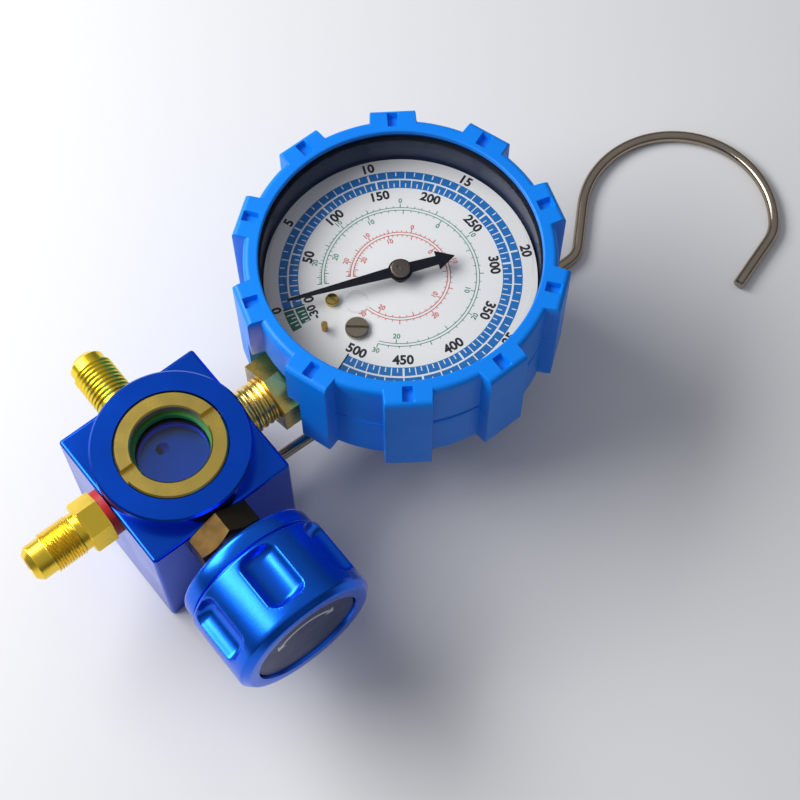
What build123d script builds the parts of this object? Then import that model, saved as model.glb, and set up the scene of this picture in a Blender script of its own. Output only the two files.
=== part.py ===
from build123d import *
import os
from math import acos, atan2, cos, degrees, hypot, radians, sin, sqrt, tan

os.makedirs("parts", exist_ok=True)

# Refrigerant manifold gauge, lying on its back. Millimetres.
# Origin: middle of the valve block's back face. +Z out of the dial, +Y from the block to the gauge,
# +X from the block to the hand knob.

# ---------------------------------------------------------------- driving dimensions

# valve block
block_width = 41.5
block_depth = 40.0
block_round = 0.9
boss_radius = 20.4
boss_height = 5.5
boss_chamfer = 0.5
port_height = 34.0            # common height of the ports, the valve and the gauge stem
valve_offset = -2.0           # the valve's axis lies this far from the block's middle, along Y
passage_radius = 1.3
stub_depth = 8.0              # how far a screwed stub goes into the block
stub_radius = 5.0

# clearances
screw_gap = 0.05              # round a screwed or pressed piece
running_gap = 0.05            # round a turning or sliding shaft
soft_gap = 0.3                # between free surfaces of different bodies

# sight glass
ring_radius = 14.3
ring_bore = 10.1
ring_height = 3.8
ring_proud = 0.3
ring_gap = 0.3
ring_slot_width = 3.6
ring_slot_depth = 1.3
gasket_thickness = 1.6
gasket_bore = 9.5
glass_radius = 12.0
glass_thickness = 3.2
chamber_radius = 9.2
chamber_depth = 1.4
eye_hole_radius = 1.8
eye_hole_x = -3.9
eye_hole_y = -1.0
transfer_radius = 0.55        # hole from the valve chamber to the sight glass chamber
transfer_y = 3.6              # from the valve axis
transfer_z = 2.45

# hose ports
flare_thread_radius = 5.556   # 7/16 inch flare thread
flare_nose_radius = 4.9
flare_tip_radius = 3.5
flare_bore = 1.9
flare_tip_length = 1.5
collar_radius = 5.2
end_port_washer_radius = 6.4
end_port_washer_thickness = 1.9
end_port_hex = 12.2
end_port_hex_length = 6.2
end_port_hex_turn = -10.0
end_port_collar_length = 2.1
end_port_thread_length = 8.0
end_port_nose_length = 4.3
side_port_collar_length = 1.7
side_port_thread_length = 11.5
side_port_nose_length = 2.9

# valve
seat_x = 13.0                 # face of the valve seat
seat_disc_radius = 3.4
seat_disc_thickness = 2.2
seat_lift_off = 0.05
chamber_bore = 5.0
gland_start = 17.6
gland_thread_radius = 6.8
gland_hex = 17.0
gland_hex_length = 6.6
stem_radius = 4.0
stem_tip_radius = 1.5
stem_square = 5.0
oring_section = 1.4
oring_spacing = 3.4
oring_start = 1.4
packing_thickness = 1.4

# hand knob
knob_start = 31.4
knob_length = 26.0
knob_radius = 19.4
knob_flange_radius = 18.6
knob_flange_length = 4.6
knob_groove_width = 0.7
knob_groove_depth = 0.7
knob_edge = 1.2
knob_rim_width = 4.6
flute_count = 6
flute_phase = 31.0            # angle of the first flute's middle, from +Y towards +Z
flute_scoop_radius = 6.2
flute_floor_radius = 16.2
flute_edge = 0.8              # rounding between a flute and the knob's barrel
flute_run_out = 1.6
cap_radius = 14.5
cap_thickness = 1.2
cap_sink = 0.8
cap_gap = 0.15
screw_pocket_radius = 5.0
screw_pocket_depth = 5.0
knob_screw_radius = 1.5
knob_screw_head_radius = 3.0
knob_screw_head_height = 2.4
knob_screw_length = 10.0

# hook
wire_radius = 1.6
hook_x = 6.0
hook_socket_height = 10.5     # height of the hook's hole above the block's back
hook_insertion = 12.0
hook_straight = 4.0           # straight wire outside the block before the gentle bend
hook_bend_radius = 40.0
hook_flat_y = 126.0           # the wire lies flat from here on
hook_corner_y = 132.0
hook_corner_radius = 7.0
hook_loop_x = 14.7
hook_loop_y = 162.8
hook_loop_radius = 27.4
hook_tail_corner = (35.75, 180.7)
hook_tail_corner_radius = 12.0
hook_tail_end = (41.8, 160.9)
hook_groove_depth = 0.5
hook_groove_width = 1.8
hook_groove_y = 6.0           # inside the block's face
set_screw_radius = 2.0
set_screw_tip_radius = 0.7
set_screw_hex = 2.0

# gauge
boot_radius = 39.2
boot_wall = 2.6
boot_gap = 0.1
boot_back_thickness = 1.8
boot_back_opening = 28.0
boot_lip_bore = 35.4
boot_lip_thickness = 1.3
boot_groove_height = 17.6     # from the boot's back
boot_groove_width = 1.0
boot_groove_depth = 0.6
boot_edge = 0.8
lug_count = 10
lug_radius = 42.2
lug_width = 12.0
lug_chamfer = 0.8
lug_recess_width = 2.8
lug_recess_length = 3.2
lug_recess_depth = 1.6
socket_cut_width = 20.6
socket_cut_above = 10.6       # above the stem's axis
socket_cut_depth = 4.0
case_wall = 1.0
case_floor_gap = 1.7          # under the Bourdon tube
lens_thickness = 2.2
lens_gap = 4.5                # over the pointer's hub
lens_skirt_radius = 34.8
lens_skirt_wall = 1.6
lens_skirt_gap = 4.0          # over the dial
lens_plug_radius = 2.9
lens_plug_depth = 1.7
lens_plug_x = 3.4
lens_plug_y = -16.4           # from the gauge's middle
lens_gasket_thickness = 0.6
lens_gasket_width = 1.5

# gauge stem and holder
neck_radius = 5.8
neck_length = 7.6
stem_hex = 17.0
stem_hex_length = 7.0
stem_case_gap = 0.55
shank_radius = 5.0
holder_width = 14.0
holder_behind = 3.0           # from the Bourdon tube's middle line to the holder's back
holder_ahead = 9.5            # and to its front
holder_top = 5.5              # above the stem's axis
stem_bore = 1.3
stem_bore_reach = 5.5         # past the Bourdon tube's middle line
plate_foot_spread = 3.0
plate_screw_radius = 0.9
plate_screw_head_radius = 1.6
plate_screw_length = 4.0
case_screw_spread = 4.5
case_screw_reach = 6.5        # past the Bourdon tube's middle line
case_screw_radius = 1.4
case_screw_head_radius = 2.6
case_screw_head_height = 1.4
case_screw_length = 4.0

# Bourdon tube
tube_radius = 28.0
tube_thickness = 3.0
tube_height = 8.0
tube_start_angle = 261.0
tube_tip_angle = -15.0
tube_foot = 6.0
tip_length = 4.0
tip_rise = 1.0                # top of the tip piece above the tube

# movement
module = 0.3
pinion_teeth = 10
sector_teeth = 90             # teeth that a full wheel would have
pressure_angle = 20.0
backlash = 0.06
tail_radius = 6.0
zero_angle = 248.0            # the pointer at rest, seen from the front, from +X
sweep_up = 319.0
sweep_vacuum = 12.0
base_plate_thickness = 1.2
top_plate_thickness = 1.0
plate_gap = 4.5
plate_pad_radius = 2.8
arbor_radius = 0.6
arbor_body_radius = 0.9
sector_thickness = 1.0
sector_hub_radius = 2.0
sector_arm_width = 2.6
link_thickness = 0.7
link_width = 2.2
link_pin_radius = 0.6
link_pin_clearance = 0.3
pillar_radius = 1.2
pillar_places = [(4.9, 5.6), (-6.6, -5.0), (14.0, -9.0)]   # from the gauge's middle
pinion_addendum = 0.3
sector_addendum = 0.165
sector_teeth_after = 2
sector_teeth_before = 11
spring_turns = 4
spring_inner_radius = 1.6
spring_pitch = 1.0
spring_strip = 0.15
spring_height = 0.6

# dial and pointer
dial_radius = 34.8
dial_thickness = 0.5
dial_height = 14.0            # dial's back above the stem's axis
dial_hole = 2.0
dial_post_x = 5.1
dial_post_ahead = 10.0        # from the Bourdon tube's middle line
dial_post_radius = 1.9
dial_screw_radius = 3.0
dial_screw_height = 1.3
dial_screw_slot = 0.8
dial_post_thread = 4.0
dial_thread_radius = 1.0
zero_screw_radius = 1.7
zero_screw_height = 1.4
stop_pin_radius = 0.8
stop_pin_height = 2.9
stop_pin_y = -24.3
pointer_lift = 2.7            # pointer's back above the dial's face
pointer_thickness = 0.5
pointer_length = 29.5
pointer_tail = 14.3
pointer_waist = 1.5
pointer_tip_width = 0.5
pointer_arrow_width = 5.4
pointer_arrow_length = 4.6
hub_radius = 3.1
hub_height = 1.0
hub_slot = 0.7

# ---------------------------------------------------------------- worked-out places

half = block_width / 2
boss_top = block_depth + boss_height
ring_top = boss_top + ring_proud
ring_base = ring_top - ring_height
glass_top = ring_base - gasket_thickness
glass_base = glass_top - glass_thickness
chamber_floor = glass_base - chamber_depth

end_washer_y = -half
end_hex_y = end_washer_y - end_port_washer_thickness
end_collar_y = end_hex_y - end_port_hex_length
end_thread_y = end_collar_y - end_port_collar_length
end_nose_y = end_thread_y - end_port_thread_length
end_tip_y = end_nose_y - end_port_nose_length - flare_tip_length

side_thread_x = -half - side_port_collar_length
side_nose_x = side_thread_x - side_port_thread_length
side_tip_x = side_nose_x - side_port_nose_length - flare_tip_length

gland_outer_x = half + gland_hex_length
disc_x = seat_x + seat_lift_off
disc_back_x = disc_x + seat_disc_thickness
knob_end = knob_start + knob_length
cap_top = knob_end - cap_sink
cap_seat = cap_top - cap_thickness
pocket_floor = cap_seat - screw_pocket_depth
flute_centre = flute_floor_radius + flute_scoop_radius

dial_z = port_height + dial_height
dial_face = dial_z + dial_thickness
pointer_z = dial_face + pointer_lift
hub_top = pointer_z + pointer_thickness + hub_height

lens_base = hub_top + lens_gap
lens_top = lens_base + lens_thickness
gauge_front = lens_top + boot_lip_thickness
case_rim = lens_base - lens_gasket_thickness
case_floor = port_height - tube_height / 2 - case_floor_gap
case_back = case_floor - case_wall
boot_back = case_back - boot_back_thickness
boot_bore = boot_radius - boot_wall
case_radius = boot_bore - boot_gap
case_bore = case_radius - case_wall
stem_hex_y = half + neck_length
shank_y = stem_hex_y + stem_hex_length
gauge_y = shank_y + stem_case_gap + case_radius
lens_gasket_bore = case_radius - lens_gasket_width

holder_start = -tube_radius - holder_behind
holder_end = -tube_radius + holder_ahead
plate_foot_places = [(side * plate_foot_spread, -tube_radius) for side in (-1, 1)]
case_screw_places = [(side * case_screw_spread, case_screw_reach - tube_radius) for side in (-1, 1)]
dial_post_y = dial_post_ahead - tube_radius
holder_z = port_height + holder_top
base_plate_top = holder_z + base_plate_thickness
top_plate_z = base_plate_top + plate_gap
sector_z = base_plate_top + 1.3
link_z = sector_z + sector_thickness + 0.3
spring_z = link_z + link_thickness + 0.2
tip_top = port_height + tube_height / 2 + tip_rise

# the sector's pivot lies beyond the pinion so that the link pulls the tube's tip straight
pinion_pitch_radius = module * pinion_teeth / 2
sector_pitch_radius = module * sector_teeth / 2
centre_distance = pinion_pitch_radius + sector_pitch_radius
gear_ratio = sector_teeth / pinion_teeth
holder_holes = [(x, y, plate_screw_radius, plate_screw_length) for x, y in plate_foot_places]
tail_reach = centre_distance + tail_radius
link_length = sqrt(tube_radius**2 - tail_reach**2)
sector_angle = tube_tip_angle - degrees(acos(tail_reach / tube_radius))
mid_travel = (sweep_up - sweep_vacuum) / gear_ratio / 2


def polar(radius, angle, centre=(0.0, 0.0)):
    """Point at a radius and an angle in degrees round a centre."""
    return (centre[0] + radius * cos(radians(angle)), centre[1] + radius * sin(radians(angle)))


gauge_middle = (0.0, gauge_y)
sector_pivot = polar(centre_distance, sector_angle, gauge_middle)
link_line = sector_angle + 90
tail_mid = polar(tail_radius, sector_angle, sector_pivot)
tail_pin = polar(tail_radius, sector_angle - mid_travel, sector_pivot)
link_side_step = tail_radius * (1 - cos(radians(mid_travel))) / 2
tip_slide = tail_radius * sin(radians(mid_travel))
tip_pin = polar(link_length - tip_slide, link_line, tail_mid)
tip_pin = polar(-link_side_step, sector_angle, tip_pin)
tip_angle = degrees(atan2(tip_pin[1] - gauge_y, tip_pin[0]))
tube_end_angle = tip_angle + degrees((tip_length / 2 + screw_gap) / (tube_radius - tube_thickness / 2))

# ---------------------------------------------------------------- shape helpers

x_axis_plane = Plane(origin=(0, valve_offset, port_height), x_dir=(1, 0, 0), z_dir=(0, 0, 1))
y_axis_plane = Plane(origin=(0, 0, port_height), x_dir=(0, 1, 0), z_dir=(0, 0, 1))


def turned(plane, points):
    """Solid turned about a plane's x line from (distance along it, radius) points."""
    with BuildPart() as work:
        with BuildSketch(plane):
            with BuildLine():
                Polyline(*points, close=True)
            make_face()
        revolve(axis=Axis(plane.origin, plane.x_dir))
    return work.part


def hexagon(plane, start, length, across_flats, turn=0.0, chamfer_start=False):
    """Hexagonal collar along a plane's x line, one end's corners turned off at 30 degrees."""
    corner = across_flats / sqrt(3)
    drop = (corner - across_flats / 2) * tan(radians(30))
    if chamfer_start:
        outline = [(start, 0), (start, across_flats / 2), (start + drop, corner),
                   (start + length, corner), (start + length, 0)]
    else:
        outline = [(start, 0), (start, corner), (start + length - drop, corner),
                   (start + length, across_flats / 2), (start + length, 0)]
    base = Plane(origin=plane.origin + plane.x_dir * start, x_dir=plane.z_dir, z_dir=plane.x_dir)
    with BuildPart() as work:
        with BuildSketch(base):
            RegularPolygon(corner, 6, rotation=turn)
        extrude(amount=length)
        add(turned(plane, outline), mode=Mode.INTERSECT)
    return work.part


def disc(centre, low, high, radius, bore=0.0):
    """Upright disc or ring between two heights."""
    with BuildPart() as work:
        with BuildSketch(Plane.XY.offset(low)):
            with Locations(centre):
                Circle(radius)
                if bore:
                    Circle(bore, mode=Mode.SUBTRACT)
        extrude(amount=high - low)
    return work.part


def slot_bar(centre, low, high, length, width, angle=0.0):
    """Upright rectangular bar used to cut a screwdriver slot."""
    with BuildPart() as work:
        with BuildSketch(Plane.XY.offset(low)):
            with Locations(Location((centre[0], centre[1], 0), (0, 0, angle))):
                Rectangle(length, width)
        extrude(amount=high - low)
    return work.part


def save(builder, name):
    """Label a finished piece and write it to its own file."""
    builder.part.label = name
    export_step(builder.part, f"parts/{name}.step")


# ---------------------------------------------------------------- valve block

with BuildPart() as valve_block:
    with BuildSketch():
        Rectangle(block_width, block_width)
    extrude(amount=block_depth)
    fillet(valve_block.edges(), radius=block_round)
    with BuildSketch(Plane.XY.offset(block_depth - block_round)):
        Circle(boss_radius)
    extrude(amount=boss_height + block_round)
    chamfer(valve_block.faces().sort_by(Axis.Z)[-1].edges(), length=boss_chamfer)
    # sight glass well and its chamber
    add(disc((0, 0), ring_base, ring_top, ring_radius + ring_gap), mode=Mode.SUBTRACT)
    add(disc((0, 0), glass_base, ring_base, glass_radius + screw_gap), mode=Mode.SUBTRACT)
    add(disc((0, 0), chamber_floor, glass_base, chamber_radius), mode=Mode.SUBTRACT)
    add(disc((eye_hole_x, eye_hole_y), port_height - passage_radius / 2, chamber_floor,
             eye_hole_radius), mode=Mode.SUBTRACT)
    # side port passage, then the seat orifice, valve chamber and gland thread on the same axis
    add(turned(x_axis_plane, [
        (-half, 0), (-half, stub_radius + screw_gap), (-half + stub_depth, stub_radius + screw_gap),
        (-half + stub_depth, passage_radius), (eye_hole_x, passage_radius), (eye_hole_x, 0)]),
        mode=Mode.SUBTRACT)
    add(turned(x_axis_plane, [
        (0, 0), (0, passage_radius), (seat_x, passage_radius), (seat_x, chamber_bore),
        (gland_start - packing_thickness, chamber_bore),
        (gland_start - packing_thickness, gland_thread_radius + screw_gap),
        (half, gland_thread_radius + screw_gap), (half, 0)]), mode=Mode.SUBTRACT)
    transfer_hole = Plane(origin=(0, valve_offset + transfer_y, port_height + transfer_z),
                          x_dir=(1, 0, 0), z_dir=(0, 0, 1))
    add(turned(transfer_hole, [(chamber_radius - 1.5, 0), (chamber_radius - 1.5, transfer_radius),
                               (seat_x + 0.5, transfer_radius), (seat_x + 0.5, 0)]), mode=Mode.SUBTRACT)
    # end port and gauge port on one straight passage
    add(turned(y_axis_plane, [
        (-half, 0), (-half, stub_radius + screw_gap), (-half + stub_depth, stub_radius + screw_gap),
        (-half + stub_depth, passage_radius), (half - stub_depth, passage_radius),
        (half - stub_depth, neck_radius + screw_gap), (half, neck_radius + screw_gap), (half, 0)]),
        mode=Mode.SUBTRACT)
    # hook socket and its set screw
    add(turned(Plane(origin=(hook_x, 0, hook_socket_height), x_dir=(0, 1, 0), z_dir=(0, 0, 1)), [
        (half - hook_insertion - soft_gap, 0), (half - hook_insertion - soft_gap, wire_radius + running_gap),
        (half, wire_radius + running_gap), (half, 0)]), mode=Mode.SUBTRACT)
    add(disc((hook_x, half - hook_groove_y), 0, hook_socket_height - wire_radius,
             set_screw_radius + screw_gap), mode=Mode.SUBTRACT)
save(valve_block, "valve_block")

# ---------------------------------------------------------------- sight glass

with BuildPart() as sight_ring:
    add(disc((0, 0), ring_base, ring_top, ring_radius, ring_bore))
    chamfer(sight_ring.faces().sort_by(Axis.Z)[-1].edges(), length=0.4)
    add(slot_bar((0, 0), ring_top - ring_slot_depth, ring_top, 2 * ring_radius + 1, ring_slot_width, 90),
        mode=Mode.SUBTRACT)
save(sight_ring, "sight_ring")

with BuildPart() as sight_gasket:
    add(disc((0, 0), glass_top, ring_base, glass_radius, gasket_bore))
save(sight_gasket, "sight_gasket")

with BuildPart() as sight_glass:
    add(disc((0, 0), glass_base, glass_top, glass_radius))
save(sight_glass, "sight_glass")

# ---------------------------------------------------------------- hose ports

with BuildPart() as end_port:
    add(turned(y_axis_plane, [
        (-half + stub_depth, 0), (-half + stub_depth, stub_radius), (end_collar_y, stub_radius),
        (end_collar_y, collar_radius), (end_thread_y, collar_radius),
        (end_thread_y, flare_thread_radius), (end_nose_y, flare_thread_radius),
        (end_nose_y, flare_nose_radius), (end_tip_y + flare_tip_length, flare_nose_radius),
        (end_tip_y, flare_tip_radius), (end_tip_y, 0)]))
    add(hexagon(y_axis_plane, end_collar_y, end_port_hex_length, end_port_hex, end_port_hex_turn, True))
    add(turned(y_axis_plane, [(end_tip_y, 0), (end_tip_y, flare_bore), (-half + stub_depth, flare_bore),
                              (-half + stub_depth, 0)]), mode=Mode.SUBTRACT)
save(end_port, "end_port")

with BuildPart() as end_port_washer:
    add(turned(y_axis_plane, [
        (end_hex_y, stub_radius + screw_gap), (end_hex_y, end_port_washer_radius),
        (end_washer_y, end_port_washer_radius), (end_washer_y, stub_radius + screw_gap)]))
save(end_port_washer, "end_port_washer")

with BuildPart() as side_port:
    add(turned(x_axis_plane, [
        (-half + stub_depth, flare_bore), (-half + stub_depth, stub_radius), (-half, stub_radius),
        (-half, collar_radius), (side_thread_x, collar_radius),
        (side_thread_x, flare_thread_radius), (side_nose_x, flare_thread_radius),
        (side_nose_x, flare_nose_radius), (side_tip_x + flare_tip_length, flare_nose_radius),
        (side_tip_x, flare_tip_radius), (side_tip_x, flare_bore)]))
save(side_port, "side_port")

# ---------------------------------------------------------------- valve

with BuildPart() as gland_nut:
    add(turned(x_axis_plane, [(gland_start, 0), (gland_start, gland_thread_radius),
                              (half + 1, gland_thread_radius), (half + 1, 0)]))
    add(hexagon(x_axis_plane, half, gland_hex_length, gland_hex))
    add(turned(x_axis_plane, [(gland_start, 0), (gland_start, stem_radius + running_gap),
                              (gland_outer_x, stem_radius + running_gap), (gland_outer_x, 0)]),
        mode=Mode.SUBTRACT)
save(gland_nut, "gland_nut")

with BuildPart() as gland_packing:
    add(turned(x_axis_plane, [
        (gland_start - packing_thickness, stem_radius + running_gap),
        (gland_start - packing_thickness, gland_thread_radius), (gland_start, gland_thread_radius),
        (gland_start, stem_radius + running_gap)]))
save(gland_packing, "gland_packing")

with BuildPart() as seat_disc:
    add(turned(x_axis_plane, [
        (disc_x, 0), (disc_x, seat_disc_radius), (disc_back_x, seat_disc_radius),
        (disc_back_x, stem_tip_radius + running_gap), (disc_x + 0.8, stem_tip_radius + running_gap),
        (disc_x + 0.8, 0)]))
save(seat_disc, "seat_disc")

oring_middle = stem_radius - oring_section / 2 - running_gap / 2
oring_floor = oring_middle - oring_section / 2 - running_gap / 2
oring_places = [gland_start + oring_start + k * oring_spacing for k in range(2)]
stem_profile = [(disc_x + 0.9, 0), (disc_x + 0.9, stem_tip_radius), (disc_back_x + 0.1, stem_tip_radius),
                (disc_back_x + 0.1, stem_radius)]
for place in oring_places:
    groove_half = oring_section / 2 + running_gap
    stem_profile += [(place - groove_half, stem_radius), (place - groove_half, oring_floor),
                     (place + groove_half, oring_floor), (place + groove_half, stem_radius)]
stem_profile += [(knob_start, stem_radius), (knob_start, 0)]

with BuildPart() as valve_stem:
    add(turned(x_axis_plane, stem_profile))
    with BuildSketch(Plane(origin=(knob_start, valve_offset, port_height), z_dir=(1, 0, 0))):
        Rectangle(stem_square, stem_square)
    extrude(amount=pocket_floor - knob_start)
    add(turned(x_axis_plane, [
        (pocket_floor - knob_screw_length, 0), (pocket_floor - knob_screw_length, knob_screw_radius + screw_gap),
        (pocket_floor, knob_screw_radius + screw_gap), (pocket_floor, 0)]), mode=Mode.SUBTRACT)
save(valve_stem, "valve_stem")

with BuildPart() as stem_orings:
    for place in oring_places:
        with BuildSketch(x_axis_plane):
            with Locations((place, oring_middle)):
                Circle(oring_section / 2)
        revolve(axis=Axis(x_axis_plane.origin, x_axis_plane.x_dir))
save(stem_orings, "stem_orings")

# ---------------------------------------------------------------- hand knob

flange_end = knob_start + knob_flange_length
groove_end = flange_end + knob_groove_width
flute_start = groove_end + 0.8
flute_end = knob_end - knob_rim_width
flute_length = flute_end - flute_start - 2 * flute_run_out

with BuildPart() as knob:
    add(turned(x_axis_plane, [
        (knob_start, 0), (knob_start, knob_flange_radius - knob_edge),
        (knob_start + knob_edge, knob_flange_radius), (flange_end, knob_flange_radius),
        (flange_end, knob_flange_radius - knob_groove_depth),
        (groove_end, knob_flange_radius - knob_groove_depth), (groove_end, knob_radius),
        (knob_end - knob_edge, knob_radius), (knob_end, knob_radius - knob_edge), (knob_end, 0)]))
    for k in range(flute_count):
        flute_angle = flute_phase + k * 360 / flute_count
        centre_y = valve_offset + flute_centre * cos(radians(flute_angle))
        centre_z = port_height + flute_centre * sin(radians(flute_angle))
        flute_axis = Plane(origin=(0, centre_y, centre_z), x_dir=(1, 0, 0), z_dir=(0, 0, 1))
        add(turned(flute_axis, [
            (flute_start, 0), (flute_start, flute_scoop_radius - flute_run_out),
            (flute_start + flute_run_out, flute_scoop_radius),
            (flute_end - flute_run_out, flute_scoop_radius),
            (flute_end, flute_scoop_radius - flute_run_out), (flute_end, 0)]), mode=Mode.SUBTRACT)
    flute_edges = knob.edges().filter_by(lambda edge: abs(edge.length - flute_length) < 0.01)
    fillet(flute_edges, radius=flute_edge)
    add(turned(x_axis_plane, [
        (pocket_floor, 0), (pocket_floor, screw_pocket_radius), (cap_seat, screw_pocket_radius),
        (cap_seat, cap_radius + cap_gap), (knob_end, cap_radius + cap_gap), (knob_end, 0)]),
        mode=Mode.SUBTRACT)
    with BuildSketch(Plane(origin=(knob_start, valve_offset, port_height), z_dir=(1, 0, 0))):
        Rectangle(stem_square + 2 * screw_gap, stem_square + 2 * screw_gap)
    extrude(amount=pocket_floor - knob_start, mode=Mode.SUBTRACT)
save(knob, "knob")

with BuildPart() as knob_screw:
    add(turned(x_axis_plane, [
        (pocket_floor - knob_screw_length + 1, 0), (pocket_floor - knob_screw_length + 1, knob_screw_radius),
        (pocket_floor, knob_screw_radius), (pocket_floor, knob_screw_head_radius + 1),
        (pocket_floor + 0.6, knob_screw_head_radius + 1), (pocket_floor + 0.6, knob_screw_head_radius),
        (pocket_floor + 0.6 + knob_screw_head_height, knob_screw_head_radius),
        (pocket_floor + 0.6 + knob_screw_head_height, 0)]))
save(knob_screw, "knob_screw")

with BuildPart() as knob_cap:
    add(turned(x_axis_plane, [(cap_seat, 0), (cap_seat, cap_radius), (cap_top - 0.3, cap_radius),
                              (cap_top, cap_radius - 0.3), (cap_top, 0)]))
save(knob_cap, "knob_cap")

# ---------------------------------------------------------------- hook

loop_centre = Vector(hook_loop_x, hook_loop_y, wire_radius)
hook_start = Vector(hook_x, half - hook_insertion, hook_socket_height)
hook_first = Vector(hook_x, half + hook_straight, hook_socket_height)
hook_second = Vector(hook_x, hook_flat_y, wire_radius)
hook_corner = Vector(hook_x, hook_corner_y, wire_radius)
tail_corner = Vector(hook_tail_corner[0], hook_tail_corner[1], wire_radius)
tail_end = Vector(hook_tail_end[0], hook_tail_end[1], wire_radius)


def rim_point(outside, side):
    """Point of the loop where a straight wire from an outside point runs into it."""
    out = outside - loop_centre
    turn = degrees(acos(hook_loop_radius / out.length))
    return loop_centre + out.normalized().rotate(Axis.Z, side * turn) * hook_loop_radius


def bend(before, corner, after, radius):
    """Start, middle and end of the arc that rounds a corner of the wire."""
    into = (before - corner).normalized()
    away = (after - corner).normalized()
    half_angle = radians(into.get_angle(away)) / 2
    reach = radius / tan(half_angle)
    inward = (into + away).normalized()
    middle = corner + inward * (radius / sin(half_angle) - radius)
    return corner + into * reach, middle, corner + away * reach


loop_start = rim_point(hook_corner, -1)
loop_end = rim_point(tail_corner, 1)
loop_top = loop_centre + Vector(0, hook_loop_radius, 0)
bends = [bend(hook_start, hook_first, hook_second, hook_bend_radius),
         bend(hook_first, hook_second, hook_corner, hook_bend_radius),
         bend(hook_second, hook_corner, loop_start, hook_corner_radius)]
tail_bend = bend(loop_end, tail_corner, tail_end, hook_tail_corner_radius)

with BuildPart() as hook:
    with BuildLine():
        place = hook_start
        for arc in bends:
            Line(place, arc[0])
            ThreePointArc(*arc)
            place = arc[2]
        Line(place, loop_start)
        ThreePointArc(loop_start, loop_top, loop_end)
        Line(loop_end, tail_bend[0])
        ThreePointArc(*tail_bend)
        Line(tail_bend[2], tail_end)
    with BuildSketch(Plane(origin=hook_start, z_dir=(0, 1, 0))):
        Circle(wire_radius)
    sweep()
    chamfer(hook.faces().sort_by_distance(tail_end)[0].edges(), length=0.4)
    shank_plane = Plane(origin=(hook_x, half - hook_groove_y, hook_socket_height), x_dir=(0, 1, 0),
                        z_dir=(0, 0, 1))
    add(turned(shank_plane, [
        (-hook_groove_width / 2, wire_radius - hook_groove_depth), (-hook_groove_width / 2, wire_radius + 1),
        (hook_groove_width / 2, wire_radius + 1), (hook_groove_width / 2, wire_radius - hook_groove_depth)]),
        mode=Mode.SUBTRACT)
save(hook, "hook")

set_screw_top = hook_socket_height - wire_radius - 0.2
with BuildPart() as hook_set_screw:
    add(disc((hook_x, half - hook_groove_y), 0.6, set_screw_top, set_screw_radius))
    add(disc((hook_x, half - hook_groove_y), set_screw_top, set_screw_top + 0.6, set_screw_tip_radius))
    with BuildSketch(Plane.XY.offset(0.6)):
        with Locations((hook_x, half - hook_groove_y)):
            RegularPolygon(set_screw_hex / sqrt(3), 6)
    extrude(amount=2, mode=Mode.SUBTRACT)
save(hook_set_screw, "hook_set_screw")

# ---------------------------------------------------------------- gauge stem

with BuildPart() as gauge_stem:
    add(turned(y_axis_plane, [
        (half - stub_depth, 0), (half - stub_depth, neck_radius), (stem_hex_y, neck_radius),
        (stem_hex_y, shank_radius), (gauge_y + holder_start, shank_radius), (gauge_y + holder_start, 0)]))
    add(hexagon(y_axis_plane, stem_hex_y, stem_hex_length, stem_hex))
    with BuildSketch(Plane.XY.offset(case_floor)):
        with Locations((0, gauge_y + (holder_start + holder_end) / 2)):
            Rectangle(holder_width, holder_end - holder_start)
    extrude(amount=holder_z - case_floor)
    add(turned(y_axis_plane, [
        (half - stub_depth, 0), (half - stub_depth, stem_bore),
        (gauge_y - tube_radius + stem_bore_reach, stem_bore),
        (gauge_y - tube_radius + stem_bore_reach, 0)]), mode=Mode.SUBTRACT)
    # slot that takes the fixed end of the Bourdon tube
    with BuildSketch(Plane.XY.offset(port_height - tube_height / 2 - screw_gap)):
        with Locations(gauge_middle):
            Circle(tube_radius + tube_thickness / 2 + screw_gap)
            Circle(tube_radius - tube_thickness / 2 - screw_gap, mode=Mode.SUBTRACT)
        with Locations((-holder_width / 2, gauge_y - tube_radius)):
            Rectangle(2 * tube_foot, 4 * tube_thickness, mode=Mode.INTERSECT)
    extrude(amount=tube_height + 2 * screw_gap, mode=Mode.SUBTRACT)
    for x, y, radius, depth in holder_holes:
        add(disc((x, gauge_y + y), holder_z - depth, holder_z, radius + screw_gap), mode=Mode.SUBTRACT)
    for x, y in case_screw_places:
        add(disc((x, gauge_y + y), case_floor, case_floor + case_screw_length, case_screw_radius + screw_gap),
            mode=Mode.SUBTRACT)
save(gauge_stem, "gauge_stem")

# ---------------------------------------------------------------- gauge case, boot and lens

with BuildPart() as gauge_case:
    add(disc(gauge_middle, case_back, case_rim, case_radius))
    fillet(gauge_case.faces().sort_by(Axis.Z)[0].edges(), radius=case_wall)
    add(disc(gauge_middle, case_floor, case_rim, case_bore), mode=Mode.SUBTRACT)
    add(turned(y_axis_plane, [
        (shank_y, 0), (shank_y, shank_radius + screw_gap), (gauge_y + holder_start, shank_radius + screw_gap),
        (gauge_y + holder_start, 0)]), mode=Mode.SUBTRACT)
    for x, y in case_screw_places:
        add(disc((x, gauge_y + y), case_back, case_floor, case_screw_radius + screw_gap), mode=Mode.SUBTRACT)
save(gauge_case, "gauge_case")

with BuildPart() as case_screws:
    for x, y in case_screw_places:
        place = (x, gauge_y + y)
        add(disc(place, case_back - case_screw_head_height, case_back, case_screw_head_radius))
        add(disc(place, case_back, case_floor + case_screw_length - 1, case_screw_radius))
        add(slot_bar(place, case_back - case_screw_head_height, case_back - case_screw_head_height / 2,
                     2 * case_screw_head_radius + 1, 0.7), mode=Mode.SUBTRACT)
save(case_screws, "case_screws")

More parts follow.
